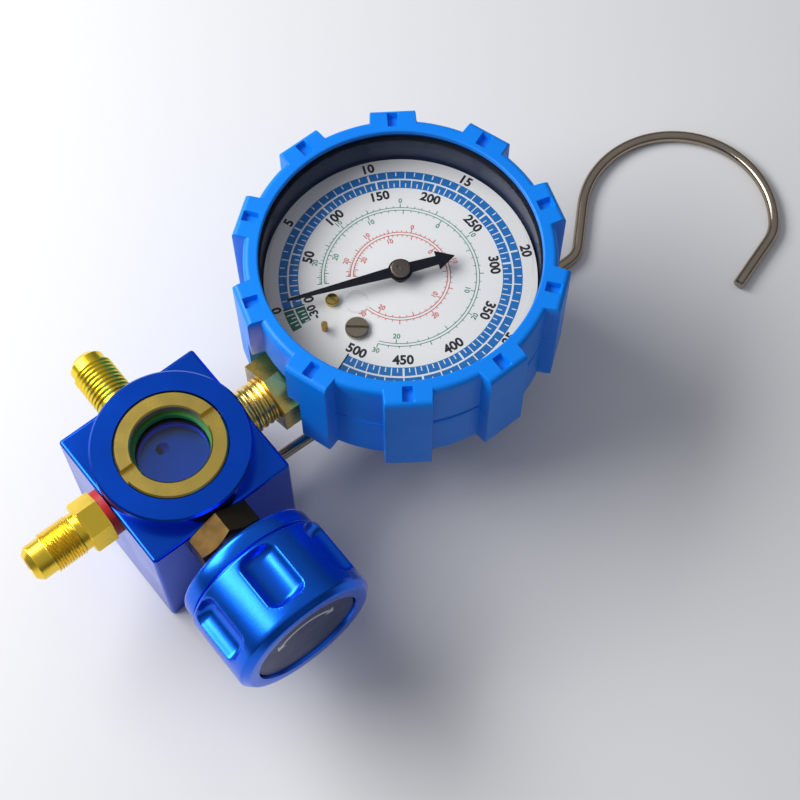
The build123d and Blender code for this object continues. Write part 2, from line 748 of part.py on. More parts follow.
with BuildPart() as lug_shape:
    lug_inward = lug_radius - boot_bore
    with BuildSketch():
        Rectangle(lug_inward, lug_width)
    extrude(amount=gauge_front - boot_back)
    outer_edges = lug_shape.faces().sort_by(Axis.X)[-1].edges()
    chamfer(outer_edges, length=lug_chamfer)
lug_block = lug_shape.part

boot_plane = Plane(origin=(0, gauge_y, 0), x_dir=(0, 0, 1), z_dir=(0, 1, 0))
groove_low = boot_back + boot_groove_height - boot_groove_width / 2
with BuildPart() as boot:
    add(turned(boot_plane, [
        (boot_back, boot_back_opening), (boot_back, boot_radius - boot_edge), (boot_back + boot_edge, boot_radius),
        (groove_low, boot_radius), (groove_low, boot_radius - boot_groove_depth),
        (groove_low + boot_groove_width, boot_radius - boot_groove_depth),
        (groove_low + boot_groove_width, boot_radius), (gauge_front - boot_edge, boot_radius),
        (gauge_front, boot_radius - boot_edge), (gauge_front, boot_lip_bore), (lens_top, boot_lip_bore),
        (lens_top, boot_bore), (case_back, boot_bore), (case_back, boot_back_opening)]))
    for k in range(lug_count):
        lug_angle = k * 360 / lug_count
        lug_reach = lug_radius - boot_bore
        lug_place = polar(boot_bore + lug_reach / 2, lug_angle, gauge_middle)
        lug_spot = Location((lug_place[0], lug_place[1], boot_back), (0, 0, lug_angle))
        add(lug_spot * lug_block)
    add(disc(gauge_middle, case_back, lens_top, boot_bore), mode=Mode.SUBTRACT)
    for k in range(lug_count):
        lug_angle = k * 360 / lug_count
        recess_place = polar((boot_bore + lug_radius) / 2 - 0.6, lug_angle, gauge_middle)
        add(slot_bar(recess_place, gauge_front - lug_recess_depth, gauge_front, lug_recess_width,
                     lug_recess_length, lug_angle), mode=Mode.SUBTRACT)
    with BuildSketch(Plane.XY.offset(boot_back)):
        with Locations((0, gauge_y - boot_radius)):
            Rectangle(socket_cut_width, 2 * socket_cut_depth)
    extrude(amount=port_height + socket_cut_above - boot_back, mode=Mode.SUBTRACT)
save(boot, "boot")

with BuildPart() as lens_gasket:
    add(disc(gauge_middle, case_rim, lens_base, case_radius, lens_gasket_bore))
save(lens_gasket, "lens_gasket")

lens_plug_place = (lens_plug_x, gauge_y + lens_plug_y)
with BuildPart() as lens:
    add(disc(gauge_middle, lens_base, lens_top, case_radius))
    add(disc(gauge_middle, dial_face + lens_skirt_gap, lens_base, lens_skirt_radius,
             lens_skirt_radius - lens_skirt_wall))
    add(disc(lens_plug_place, lens_base, lens_top, lens_plug_radius + screw_gap), mode=Mode.SUBTRACT)
save(lens, "lens")

with BuildPart() as lens_plug:
    add(disc(lens_plug_place, lens_top - lens_plug_depth, lens_top, lens_plug_radius))
save(lens_plug, "lens_plug")

# ---------------------------------------------------------------- Bourdon tube

with BuildPart() as bourdon_tube:
    with BuildSketch(Plane.XY.offset(port_height - tube_height / 2)):
        with BuildLine():
            arc_span = tube_end_angle - tube_start_angle
            inner = CenterArc(gauge_middle, tube_radius - tube_thickness / 2, tube_start_angle, arc_span)
            outer = CenterArc(gauge_middle, tube_radius + tube_thickness / 2, tube_start_angle, arc_span)
            Line(inner @ 0, outer @ 0)
            Line(inner @ 1, outer @ 1)
        make_face()
    extrude(amount=tube_height)
save(bourdon_tube, "bourdon_tube")

with BuildPart() as tube_tip:
    with BuildSketch(Plane.XY.offset(port_height - tube_height / 2)):
        with Locations(Location((*tip_pin, 0), (0, 0, tip_angle))):
            Rectangle(tube_thickness + 2, tip_length)
    extrude(amount=tip_top - port_height + tube_height / 2)
    add(disc(tip_pin, tip_top, link_z + link_thickness + 0.4, link_pin_radius))
save(tube_tip, "tube_tip")

# ---------------------------------------------------------------- movement


def place_all(places, low, high, radius):
    """Equal upright discs at several places round the gauge's middle."""
    with BuildPart() as work:
        for x, y in places:
            add(disc((x, gauge_y + y), low, high, radius))
    return work.part


def plate(places, low, thickness):
    """Flat plate wrapped round equal pads at several places."""
    with BuildPart() as work:
        with BuildSketch(Plane.XY.offset(low)):
            with Locations([(x, gauge_y + y) for x, y in places]):
                Circle(plate_pad_radius)
            make_hull()
        extrude(amount=thickness)
    return work.part


arbor_places = [(0, 0), (sector_pivot[0], sector_pivot[1] - gauge_y)]

with BuildPart() as base_plate:
    add(plate(arbor_places + pillar_places + plate_foot_places, holder_z, base_plate_thickness))
    add(place_all(arbor_places, holder_z, base_plate_top, arbor_radius + running_gap), mode=Mode.SUBTRACT)
    add(place_all(plate_foot_places, holder_z, base_plate_top, plate_screw_radius + screw_gap),
        mode=Mode.SUBTRACT)
    add(disc((dial_post_x, gauge_y + dial_post_y), holder_z, base_plate_top, dial_post_radius + screw_gap),
        mode=Mode.SUBTRACT)
save(base_plate, "base_plate")

with BuildPart() as top_plate:
    add(plate(arbor_places + pillar_places, top_plate_z, top_plate_thickness))
    add(place_all(arbor_places, top_plate_z, top_plate_z + top_plate_thickness, arbor_radius + running_gap),
        mode=Mode.SUBTRACT)
save(top_plate, "top_plate")

with BuildPart() as pillars:
    add(place_all(pillar_places, base_plate_top, top_plate_z, pillar_radius))
save(pillars, "pillars")

with BuildPart() as plate_screws:
    for x, y in plate_foot_places:
        screw_place = (x, gauge_y + y)
        add(disc(screw_place, holder_z - plate_screw_length + 0.5, base_plate_top, plate_screw_radius))
        add(disc(screw_place, base_plate_top, base_plate_top + 1.0, plate_screw_head_radius))
        add(slot_bar(screw_place, base_plate_top + 0.5, base_plate_top + 1.0, 2 * plate_screw_head_radius + 1,
                     0.6, 30), mode=Mode.SUBTRACT)
save(plate_screws, "plate_screws")


def flank(pitch_radius, tooth_angle, radius):
    """Half angle, in degrees, of a tooth at a radius; its flank is an involute down to the base circle."""
    base = pitch_radius * cos(radians(pressure_angle))
    roll = tan(radians(pressure_angle)) - radians(pressure_angle)
    above = max(radius, base)
    slope = acos(base / above)
    return tooth_angle / 4 + degrees(roll - (tan(slope) - slope))


def tooth(centre, pitch_radius, teeth, root, tip, middle):
    """One gear tooth from just inside its root circle out to its tip."""
    thin = degrees(backlash / 2 / pitch_radius) / 2
    steps = [root - module / 3] + [root + (tip - root) * k / 4 for k in range(5)]
    left = []
    right = []
    for radius in steps:
        spread = flank(pitch_radius, 360 / teeth, radius) - thin
        left.append(polar(radius, middle + spread, centre))
        right.append(polar(radius, middle - spread, centre))
    with BuildSketch() as work:
        with BuildLine():
            Polyline(*left, *reversed(right), close=True)
        make_face()
    return work.sketch


pinion_root = pinion_pitch_radius - sector_addendum - 0.1
pinion_tip = pinion_pitch_radius + pinion_addendum
sector_root = sector_pitch_radius - pinion_addendum - 0.1
sector_tip = sector_pitch_radius + sector_addendum

with BuildPart() as pinion:
    add(disc(gauge_middle, holder_z + 0.2, pointer_z + pointer_thickness + hub_height - 0.3, arbor_radius))
    add(disc(gauge_middle, base_plate_top + 0.3, sector_z - 0.2, arbor_body_radius))
    add(disc(gauge_middle, sector_z + sector_thickness + 0.2, top_plate_z - 0.3, arbor_body_radius))
    with BuildSketch(Plane.XY.offset(sector_z - 0.2)):
        with Locations(gauge_middle):
            Circle(pinion_root)
        for k in range(pinion_teeth):
            middle = sector_angle + (k + 0.5) * 360 / pinion_teeth
            add(tooth(gauge_middle, pinion_pitch_radius, pinion_teeth, pinion_root, pinion_tip, middle))
    extrude(amount=sector_thickness + 0.4)
save(pinion, "pinion")

with BuildPart() as sector_gear:
    facing = sector_angle + 180
    with BuildSketch(Plane.XY.offset(sector_z)):
        with BuildLine():
            first = facing + sector_teeth_after * 360 / sector_teeth + 1.4
            last = facing - sector_teeth_before * 360 / sector_teeth - 1.4
            rim = CenterArc(sector_pivot, sector_root, first, last - first)
            Polyline(rim @ 1, sector_pivot, rim @ 0)
        make_face()
        with BuildLine():
            window_out = CenterArc(sector_pivot, sector_root - 2.2, first - 12, last - first + 24)
            window_in = CenterArc(sector_pivot, sector_hub_radius + 2.0, first - 14, last - first + 28)
            Line(window_out @ 0, window_in @ 0)
            Line(window_out @ 1, window_in @ 1)
        make_face(mode=Mode.SUBTRACT)
        for k in range(-sector_teeth_before, sector_teeth_after + 1):
            middle = facing + k * 360 / sector_teeth
            add(tooth(sector_pivot, sector_pitch_radius, sector_teeth, sector_root, sector_tip, middle))
        with Locations(sector_pivot):
            Circle(sector_hub_radius)
        with Locations(tail_pin):
            Circle(sector_arm_width / 2)
        tail_direction = degrees(atan2(tail_pin[1] - sector_pivot[1], tail_pin[0] - sector_pivot[0]))
        tail_middle = polar(tail_radius / 2, tail_direction, sector_pivot)
        with Locations(Location((*tail_middle, 0), (0, 0, tail_direction))):
            Rectangle(tail_radius, sector_arm_width)
    extrude(amount=sector_thickness)
    add(disc(sector_pivot, holder_z + 0.2, top_plate_z + top_plate_thickness - 0.1, arbor_radius))
    add(disc(sector_pivot, base_plate_top + 0.3, top_plate_z - 0.3, arbor_body_radius))
    add(disc(tail_pin, sector_z + sector_thickness, link_z + link_thickness + 0.4, link_pin_radius))
save(sector_gear, "sector_gear")

link_direction = degrees(atan2(tail_pin[1] - tip_pin[1], tail_pin[0] - tip_pin[0]))
link_span = hypot(tail_pin[0] - tip_pin[0], tail_pin[1] - tip_pin[1])
with BuildPart() as link:
    with BuildSketch(Plane.XY.offset(link_z)):
        with Locations(Location((*polar(link_span / 2, link_direction, tip_pin), 0), (0, 0, link_direction))):
            SlotCenterToCenter(link_span, link_width)
        with Locations(tip_pin):
            Circle(link_pin_radius + running_gap, mode=Mode.SUBTRACT)
        with Locations(tail_pin):
            Circle(link_pin_radius + link_pin_clearance, mode=Mode.SUBTRACT)
    extrude(amount=link_thickness)
save(link, "link")

with BuildPart() as hairspring:
    outer_side = []
    inner_side = []
    for k in range(spring_turns * 20 + 1):
        turn = k * 18.0
        middle_radius = spring_inner_radius + spring_pitch * k / 20
        outer_side.append(polar(middle_radius + spring_strip / 2, turn, gauge_middle))
        inner_side.append(polar(middle_radius - spring_strip / 2, turn, gauge_middle))
    with BuildSketch(Plane.XY.offset(spring_z)):
        with BuildLine():
            Polyline(*outer_side, *reversed(inner_side), close=True)
        make_face()
    extrude(amount=spring_height)
    collet_radius = arbor_body_radius + screw_gap
    add(disc(gauge_middle, spring_z, spring_z + spring_height, spring_inner_radius + 0.1, collet_radius))
    stud_place = polar(spring_inner_radius + spring_pitch * spring_turns, spring_turns * 360, gauge_middle)
    add(disc(stud_place, spring_z, top_plate_z, 0.4))
save(hairspring, "hairspring")

# ---------------------------------------------------------------- dial and pointer

dial_post_place = (dial_post_x, gauge_y + dial_post_y)
zero_screw_place = (-dial_post_x, gauge_y + dial_post_y)
stop_pin_place = (0, gauge_y + stop_pin_y)

with BuildPart() as dial_posts:
    for place in (dial_post_place, zero_screw_place):
        add(disc(place, base_plate_top if place == zero_screw_place else holder_z, dial_z, dial_post_radius))
        add(disc(place, dial_z - dial_post_thread, dial_z, dial_thread_radius + screw_gap), mode=Mode.SUBTRACT)
save(dial_posts, "dial_posts")

with BuildPart() as dial:
    add(disc(gauge_middle, dial_z, dial_face, dial_radius, dial_hole))
    for place in (dial_post_place, zero_screw_place):
        add(disc(place, dial_z, dial_face, dial_thread_radius + screw_gap), mode=Mode.SUBTRACT)
    add(disc(stop_pin_place, dial_z, dial_face, stop_pin_radius), mode=Mode.SUBTRACT)
save(dial, "dial")

with BuildPart() as stop_pin:
    add(disc(stop_pin_place, dial_z, dial_face + stop_pin_height, stop_pin_radius))
save(stop_pin, "stop_pin")

with BuildPart() as dial_screw:
    add(disc(dial_post_place, dial_z - dial_post_thread + 0.5, dial_face, dial_thread_radius))
    add(disc(dial_post_place, dial_face, dial_face + dial_screw_height, dial_screw_radius))
    chamfer(dial_screw.faces().sort_by(Axis.Z)[-1].edges(), length=0.25)
    add(slot_bar(dial_post_place, dial_face + dial_screw_height / 2, dial_face + dial_screw_height,
                 2 * dial_screw_radius + 1, dial_screw_slot, 50), mode=Mode.SUBTRACT)
save(dial_screw, "dial_screw")

with BuildPart() as zero_screw:
    add(disc(zero_screw_place, dial_z - dial_post_thread + 0.5, dial_face, dial_thread_radius))
    add(disc(zero_screw_place, dial_face, dial_face + zero_screw_height, zero_screw_radius))
    chamfer(zero_screw.faces().sort_by(Axis.Z)[-1].edges(), length=0.2)
    add(slot_bar(zero_screw_place, dial_face + zero_screw_height / 2, dial_face + zero_screw_height,
                 2 * zero_screw_radius + 1, dial_screw_slot / 2, 20), mode=Mode.SUBTRACT)
save(zero_screw, "zero_screw")

with BuildPart() as pointer:
    with BuildSketch(Plane.XY.offset(pointer_z)):
        with Locations(Location((0, gauge_y, 0), (0, 0, zero_angle))):
            Polygon((0, pointer_waist), (pointer_length, pointer_tip_width / 2),
                    (pointer_length, -pointer_tip_width / 2), (0, -pointer_waist), align=None)
            Polygon((0, pointer_waist), (-pointer_tail + pointer_arrow_length, pointer_waist * 0.8),
                    (-pointer_tail + pointer_arrow_length, pointer_arrow_width / 2), (-pointer_tail, 0),
                    (-pointer_tail + pointer_arrow_length, -pointer_arrow_width / 2),
                    (-pointer_tail + pointer_arrow_length, -pointer_waist * 0.8), (0, -pointer_waist),
                    align=None)
            Circle(hub_radius)
        with Locations(gauge_middle):
            Circle(arbor_radius + screw_gap, mode=Mode.SUBTRACT)
    extrude(amount=pointer_thickness)
save(pointer, "pointer")

with BuildPart() as pointer_hub:
    add(disc(gauge_middle, pointer_z + pointer_thickness, hub_top, hub_radius))
    chamfer(pointer_hub.faces().sort_by(Axis.Z)[-1].edges(), length=0.3)
    add(disc(gauge_middle, pointer_z + pointer_thickness, hub_top - 0.2, arbor_radius + screw_gap),
        mode=Mode.SUBTRACT)
    add(slot_bar(gauge_middle, hub_top - 0.4, hub_top, 2 * hub_radius + 1, hub_slot, zero_angle),
        mode=Mode.SUBTRACT)
save(pointer_hub, "pointer_hub")
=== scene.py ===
"""Refrigerant manifold gauge: finishes, dial printing, threads, boot, knob, floor, light and camera.

Everything is in metres in the frame of the CAD: +X to the hand knob, +Y to the gauge, +Z out of the dial.
"""
import logging
from dataclasses import dataclass, field
from enum import Enum
from typing import Any, Sequence

import bpy
import numpy as np
from mathutils import Matrix, Vector


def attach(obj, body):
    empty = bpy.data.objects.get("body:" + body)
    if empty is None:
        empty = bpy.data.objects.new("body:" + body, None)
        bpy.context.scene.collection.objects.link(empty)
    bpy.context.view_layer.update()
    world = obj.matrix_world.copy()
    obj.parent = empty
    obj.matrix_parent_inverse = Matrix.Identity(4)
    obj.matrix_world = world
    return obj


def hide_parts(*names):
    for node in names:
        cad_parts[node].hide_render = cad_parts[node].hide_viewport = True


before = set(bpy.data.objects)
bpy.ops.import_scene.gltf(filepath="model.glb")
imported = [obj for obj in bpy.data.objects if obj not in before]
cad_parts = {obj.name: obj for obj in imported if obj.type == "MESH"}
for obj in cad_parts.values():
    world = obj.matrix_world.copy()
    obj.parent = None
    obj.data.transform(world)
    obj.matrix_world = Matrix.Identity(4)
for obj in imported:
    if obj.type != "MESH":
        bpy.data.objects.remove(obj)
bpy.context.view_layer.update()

LOG = logging.getLogger("manifold_gauge")
MM = 0.001
PER_MM = 1000.0

GAUGE_Y = 72.4
PORT_HEIGHT = 34.0
VALVE_Y = -2.0
DIAL_FACE = 48.5
PRINT_THICKNESS = 0.02
SMOOTH_BELOW = 38.0
FLOOR_HALF_M = 3


# ---- colour and nodes

def linear(hex_code: str, alpha: float = 1.0) -> tuple[float, float, float, float]:
    """Turn an sRGB hex colour into linear RGBA.

    Args:
        hex_code: six hex digits, with or without a leading #.
        alpha: the alpha to append.

    Returns:
        The four linear channel values.
    """
    digits = hex_code.lstrip("#")
    srgb = np.array([int(digits[k:k + 2], 16) for k in (0, 2, 4)]) / 255.0
    low = srgb / 12.92
    high = ((srgb + 0.055) / 1.055) ** 2.4
    red, green, blue = np.where(srgb <= 0.04045, low, high)
    return float(red), float(green), float(blue), alpha


def add_node(tree: bpy.types.NodeTree, kind: str, sockets: dict[Any, Any] | None = None,
             **settings: Any) -> bpy.types.Node:
    """Add one shader node, set its properties and fill or link its sockets.

    Args:
        tree: the node tree.
        kind: the node's type name.
        sockets: input name or number to a value or to an output socket to link.
        settings: properties of the node itself.

    Returns:
        The new node.
    """
    node = tree.nodes.new(kind)
    for name, value in settings.items():
        setattr(node, name, value)
    for name, value in (sockets or {}).items():
        if isinstance(value, bpy.types.NodeSocket):
            tree.links.new(value, node.inputs[name])
        else:
            node.inputs[name].default_value = value
    return node


class Turning(Enum):
    """Axis round which a turned surface carries its fine tool marks."""

    NONE = "none"
    X = "x"
    Y = "y"
    Z = "z"


@dataclass(frozen=True)
class Finish:
    """A surface of one real material: drifting colour, roughness, and relief from how it was made."""

    name: str
    colour: str
    shade: str
    metallic: float = 0.0
    roughness: float = 0.4
    rough_spread: float = 0.08
    ior: float = 1.5
    patch_mm: float = 6.0
    grain_mm: float = 0.3
    grain_depth: float = 0.05
    turning: Turning = Turning.NONE
    turn_centre: tuple[float, float, float] = (0.0, 0.0, 0.0)
    turn_spacing_mm: float = 0.25
    turn_depth: float = 0.0
    coat: float = 0.0
    coat_roughness: float = 0.1
    transmission: float = 0.0
    alpha: float = 1.0
    specular: float = 0.5

    def material(self) -> bpy.types.Material:
        """Build the node material, or give back the one already built."""
        made = bpy.data.materials.get(self.name)
        if made is not None:
            return made
        made = bpy.data.materials.new(self.name)
        made.use_nodes = True
        tree = made.node_tree
        tree.nodes.clear()
        out = add_node(tree, "ShaderNodeOutputMaterial")
        place = add_node(tree, "ShaderNodeTexCoord").outputs["Object"]
        patches = add_node(tree, "ShaderNodeTexNoise", {
            "Vector": place, "Scale": PER_MM / self.patch_mm, "Detail": 3.0, "Roughness": 0.55})
        grain = add_node(tree, "ShaderNodeTexNoise", {
            "Vector": place, "Scale": PER_MM / self.grain_mm, "Detail": 2.0})
        colour = add_node(tree, "ShaderNodeMix", {
            "Factor": patches.outputs["Fac"], 6: linear(self.colour), 7: linear(self.shade)},
            data_type="RGBA")
        rough = add_node(tree, "ShaderNodeMapRange", {
            "Value": patches.outputs["Fac"], "From Min": 0.3, "From Max": 0.7,
            "To Min": max(0.02, self.roughness - self.rough_spread / 2),
            "To Max": self.roughness + self.rough_spread / 2})
        shader = add_node(tree, "ShaderNodeBsdfPrincipled", {
            "Base Color": colour.outputs[2], "Roughness": rough.outputs["Result"], "Metallic": self.metallic,
            "IOR": self.ior, "Specular IOR Level": self.specular, "Coat Weight": self.coat,
            "Coat Roughness": self.coat_roughness, "Transmission Weight": self.transmission,
            "Alpha": self.alpha})
        height = grain.outputs["Fac"]
        depth = self.grain_depth
        if self.turning is not Turning.NONE:
            height = self._tool_marks(tree, place, height)
            depth = max(self.grain_depth, self.turn_depth)
        relief = add_node(tree, "ShaderNodeBump", {
            "Height": height, "Strength": min(1.0, depth), "Distance": 0.05 * MM})
        tree.links.new(relief.outputs["Normal"], shader.inputs["Normal"])
        tree.links.new(shader.outputs["BSDF"], out.inputs["Surface"])
        return made

    def _tool_marks(self, tree: bpy.types.NodeTree, place: bpy.types.NodeSocket,
                    grain: bpy.types.NodeSocket) -> bpy.types.NodeSocket:
        """Add rings of a turning tool to the grain.

        A ring's height is noise of the distance along the axis and of the distance from it, so that faces
        carry circles and barrels carry hoops.

        Args:
            tree: the node tree.
            place: object coordinates.
            grain: fine noise.

        Returns:
            The height of the surface.
        """
        axis = "XYZ".index(self.turning.value.upper())
        moved = add_node(tree, "ShaderNodeVectorMath", {
            0: place, 1: tuple(c * MM for c in self.turn_centre)}, operation="SUBTRACT")
        parts = add_node(tree, "ShaderNodeSeparateXYZ", {"Vector": moved.outputs[0]})
        sides = [parts.outputs[k] for k in range(3) if k != axis]
        squares = [add_node(tree, "ShaderNodeMath", {0: side, 1: side}, operation="MULTIPLY").outputs[0]
                   for side in sides]
        total = add_node(tree, "ShaderNodeMath", {0: squares[0], 1: squares[1]}, operation="ADD")
        radius = add_node(tree, "ShaderNodeMath", {0: total.outputs[0]}, operation="SQRT")
        ring_place = add_node(tree, "ShaderNodeCombineXYZ", {
            "X": radius.outputs[0], "Y": parts.outputs[axis]})
        rings = add_node(tree, "ShaderNodeTexNoise", {
            "Vector": ring_place.outputs[0], "Scale": PER_MM / self.turn_spacing_mm, "Detail": 1.0})
        both = add_node(tree, "ShaderNodeMath", {0: rings.outputs["Fac"], 1: grain}, operation="ADD")
        return both.outputs[0]


# Hard blue anodising over milled aluminium: metal seen through a deep blue dye under a clear oxide skin.
ANODISED_BLOCK = Finish("anodised_aluminium_milled", "#0052d8", "#0046c0", metallic=0.95, roughness=0.24,
                        patch_mm=14.0, grain_mm=0.25, grain_depth=0.04, coat=0.15, coat_roughness=0.18,
                        turning=Turning.Z, turn_spacing_mm=0.4, turn_depth=0.04)
# The same anodising over a turned aluminium knob, a lighter blue.
ANODISED_KNOB = Finish("anodised_aluminium_turned", "#0a6cf4", "#0660e4", metallic=0.95, roughness=0.27,
                       patch_mm=9.0, grain_mm=0.3, grain_depth=0.08, coat=0.2, coat_roughness=0.2,
                       turning=Turning.X, turn_centre=(0.0, VALVE_Y, PORT_HEIGHT), turn_spacing_mm=0.3,
                       turn_depth=0.12)
# Dark anodised cap: the same process with a navy dye, a little satin.
ANODISED_CAP = Finish("anodised_aluminium_dark", "#38426e", "#2e3860", metallic=0.7, roughness=0.36,
                      patch_mm=8.0, grain_mm=0.25, grain_depth=0.08, turning=Turning.X,
                      turn_centre=(0.0, VALVE_Y, PORT_HEIGHT), turn_spacing_mm=0.4, turn_depth=0.1)
# Free-machining brass straight off the lathe: yellow, bright, with hoops from the tool.
TURNED_BRASS_Y = Finish("brass_turned_along_y", "#ffde4c", "#f2ca40", metallic=1.0, roughness=0.29,
                        patch_mm=5.0, grain_mm=0.2, grain_depth=0.06, turning=Turning.Y,
                        turn_centre=(0.0, 0.0, PORT_HEIGHT), turn_spacing_mm=0.25, turn_depth=0.15)
TURNED_BRASS_X = Finish("brass_turned_along_x", "#ffe640", "#fad236", metallic=1.0, roughness=0.29,
                        patch_mm=5.0, grain_mm=0.2, grain_depth=0.06, turning=Turning.X,
                        turn_centre=(0.0, VALVE_Y, PORT_HEIGHT), turn_spacing_mm=0.25, turn_depth=0.15)
TURNED_BRASS_Z = Finish("brass_turned_face", "#dcc368", "#c8a94c", metallic=1.0, roughness=0.24,
                        patch_mm=5.0, grain_mm=0.2, grain_depth=0.06, turning=Turning.Z,
                        turn_spacing_mm=0.3, turn_depth=0.2)
# Milled and turned brass hexagon of the gauge, a little browner than the ports.
MILLED_BRASS = Finish("brass_milled_hexagon", "#ffe078", "#eec45c", metallic=1.0, roughness=0.27,
                      patch_mm=4.0, grain_mm=0.2, grain_depth=0.06, turning=Turning.Y,
                      turn_centre=(0.0, 0.0, PORT_HEIGHT), turn_spacing_mm=0.3, turn_depth=0.12)
# Brass painted dark for the shade that the knob casts over the gland nut.
GLAND_BRASS_PAINTED_SHADE = Finish("brass_painted_shade", "#5a4420", "#3c2e18", metallic=0.9, roughness=0.42, patch_mm=3.0,
                    grain_mm=0.3, grain_depth=0.12)
# Brass sheet stamped into plates, posts and gears.
CLOCK_BRASS = Finish("brass_stamped", "#c8a04a", "#b48a38", metallic=1.0, roughness=0.35, patch_mm=4.0,
                     grain_mm=0.2, grain_depth=0.08)
# Nickel over drawn steel wire: mirror-like, with faint drawing lines.
NICKEL_WIRE = Finish("nickel_plated_wire", "#b0a290", "#948878", metallic=1.0, roughness=0.18,
                     patch_mm=7.0, grain_mm=0.4, grain_depth=0.06)
# Small steel screws with a zinc plating.
BRIGHT_STEEL = Finish("steel_zinc_plated", "#b4a992", "#958a74", metallic=1.0, roughness=0.30, patch_mm=2.0,
                      grain_mm=0.15, grain_depth=0.1)
# Turned steel boss of the pointer, dulled to a warm grey.
HUB_STEEL = Finish("steel_turned_dull", "#8a7d70", "#6e6358", metallic=1.0, roughness=0.34, patch_mm=1.5,
                   grain_mm=0.12, grain_depth=0.08)
# Steel ground to size, for the stem, the pinion and the spring.
GROUND_STEEL = Finish("steel_ground", "#b8babd", "#a4a6aa", metallic=1.0, roughness=0.22, patch_mm=5.0,
                      grain_mm=0.2, grain_depth=0.06)
# Injection-moulded elastomer: a bright blue skin with a very fine matt texture and a soft gloss.
BOOT_RUBBER = Finish("elastomer_moulded_blue", "#0084f0", "#0078e4", roughness=0.38, rough_spread=0.06,
                     patch_mm=14.0, grain_mm=0.35, grain_depth=0.08, specular=0.25)
# Nitrile rings and gaskets.
GREEN_NITRILE = Finish("nitrile_moulded_green", "#1f8a46", "#156a34", roughness=0.42, grain_mm=0.2,
                       grain_depth=0.1)
BLACK_NITRILE = Finish("nitrile_moulded_black", "#101010", "#1a1a1a", roughness=0.5, grain_mm=0.2,
                       grain_depth=0.1)
# Vulcanised fibre punched into a washer.
RED_FIBRE = Finish("vulcanised_fibre_red", "#c2201c", "#9c1613", roughness=0.45, patch_mm=1.5, grain_mm=0.15,
                   grain_depth=0.15)
# Fluoropolymer turned from rod, for the packing and the seat.
WHITE_PTFE = Finish("fluoropolymer_turned", "#f2f2ee", "#e6e6e0", roughness=0.45, grain_mm=0.3,
                    grain_depth=0.05)
# Dark enamel stoved on the pressed case.
CASE_ENAMEL = Finish("dark_enamel_stoved", "#2a3350", "#222a44", roughness=0.35, grain_mm=0.3,
                     grain_depth=0.06)
# Black enamel sprayed on the pointer.
POINTER_ENAMEL = Finish("black_enamel_sprayed", "#060607", "#0c0c0e", roughness=0.45, specular=0.2,
                        grain_mm=0.25, grain_depth=0.08)
# Silk-screened enamel on aluminium: a slightly warm white with an eggshell surface.
DIAL_ENAMEL = Finish("white_enamel_screened", "#f6f7f6", "#eeefee", roughness=0.45, patch_mm=20.0,
                     grain_mm=0.25, grain_depth=0.04)
# Moulded clear plastic, nearly see-through, with a faint cast of slate blue.
CLEAR_PLASTIC = Finish("polycarbonate_clear", "#1c2c48", "#24344e", roughness=0.03, rough_spread=0.02,
                       ior=1.45, alpha=0.06, grain_mm=5.0, grain_depth=0.0)
# Pressed and polished clear glass.
SIGHT_GLASS = Finish("borosilicate_clear", "#f4fffb", "#e8fcf4", roughness=0.02, rough_spread=0.01, ior=1.47,
                     transmission=1.0, specular=0.3, grain_mm=5.0, grain_depth=0.0)
# Screen inks, thin and slightly satin.
INK_BLACK = Finish("ink_black", "#17171a", "#202024", roughness=0.5, grain_mm=0.3, grain_depth=0.03)
INK_BLUE = Finish("ink_blue", "#0f78c6", "#0c6cba", roughness=0.5, patch_mm=8.0, grain_mm=0.3,
                  grain_depth=0.03)
INK_GREEN = Finish("ink_green", "#0d6f55", "#0b6049", roughness=0.5, grain_mm=0.3, grain_depth=0.03)
INK_LEAF = Finish("ink_leaf_green", "#3f9270", "#388464", roughness=0.5, grain_mm=0.3, grain_depth=0.03)
INK_RED = Finish("ink_red", "#dc5648", "#cc4a3e", roughness=0.5, grain_mm=0.3, grain_depth=0.03)
INK_SILVER = Finish("ink_silver", "#d6d9e2", "#c0c4d0", metallic=0.6, roughness=0.35, grain_mm=0.2,
                    grain_depth=0.05)
# Matt paper backdrop, pressed smooth.
PAPER = Finish("paper_backdrop", "#dededf", "#dadadb", roughness=0.9, patch_mm=300.0, grain_mm=4.0,
               grain_depth=0.0, specular=0.1)


# ---- meshes

def smooth_step(value: np.ndarray) -> np.ndarray:
    """Ease from nought to one with level ends: three times the square less twice the cube."""
    held = np.clip(value, 0.0, 1.0)
    return held * held * (3.0 - 2.0 * held)


def surface(name: str, points: np.ndarray, finish: Finish, body: str, wrap_u: bool = False,
            wrap_v: bool = True, open_at: np.ndarray | None = None) -> bpy.types.Object:
    """Make an object from a grid of points.

    Args:
        name: the object's name.
        points: array of shape (rows, columns, 3), in millimetres.
        finish: its finish.
        body: the CAD body it rides on.
        wrap_u: True joins the last row to the first.
        wrap_v: True joins the last column to the first.
        open_at: True for each point that lies in an opening; a face with all its corners there is left out.

    Returns:
        The new object.
    """
    rows, columns, _ = points.shape
    u, v = np.meshgrid(np.arange(rows if wrap_u else rows - 1),
                       np.arange(columns if wrap_v else columns - 1), indexing="ij")
    u_next = (u + 1) % rows
    v_next = (v + 1) % columns
    quads = np.stack([u * columns + v, u * columns + v_next, u_next * columns + v_next,
                      u_next * columns + v], axis=-1).reshape(-1, 4)
    if open_at is not None:
        quads = quads[~open_at.reshape(-1)[quads].all(axis=1)]
    mesh = bpy.data.meshes.new(name)
    mesh.from_pydata((points.reshape(-1, 3) * MM).tolist(), [], quads.tolist())
    mesh.validate()
    mesh.polygons.foreach_set("use_smooth", np.full(len(mesh.polygons), True))
    mesh.set_sharp_from_angle(angle=float(np.radians(SMOOTH_BELOW)))
    return place_mesh(name, mesh, finish, body)


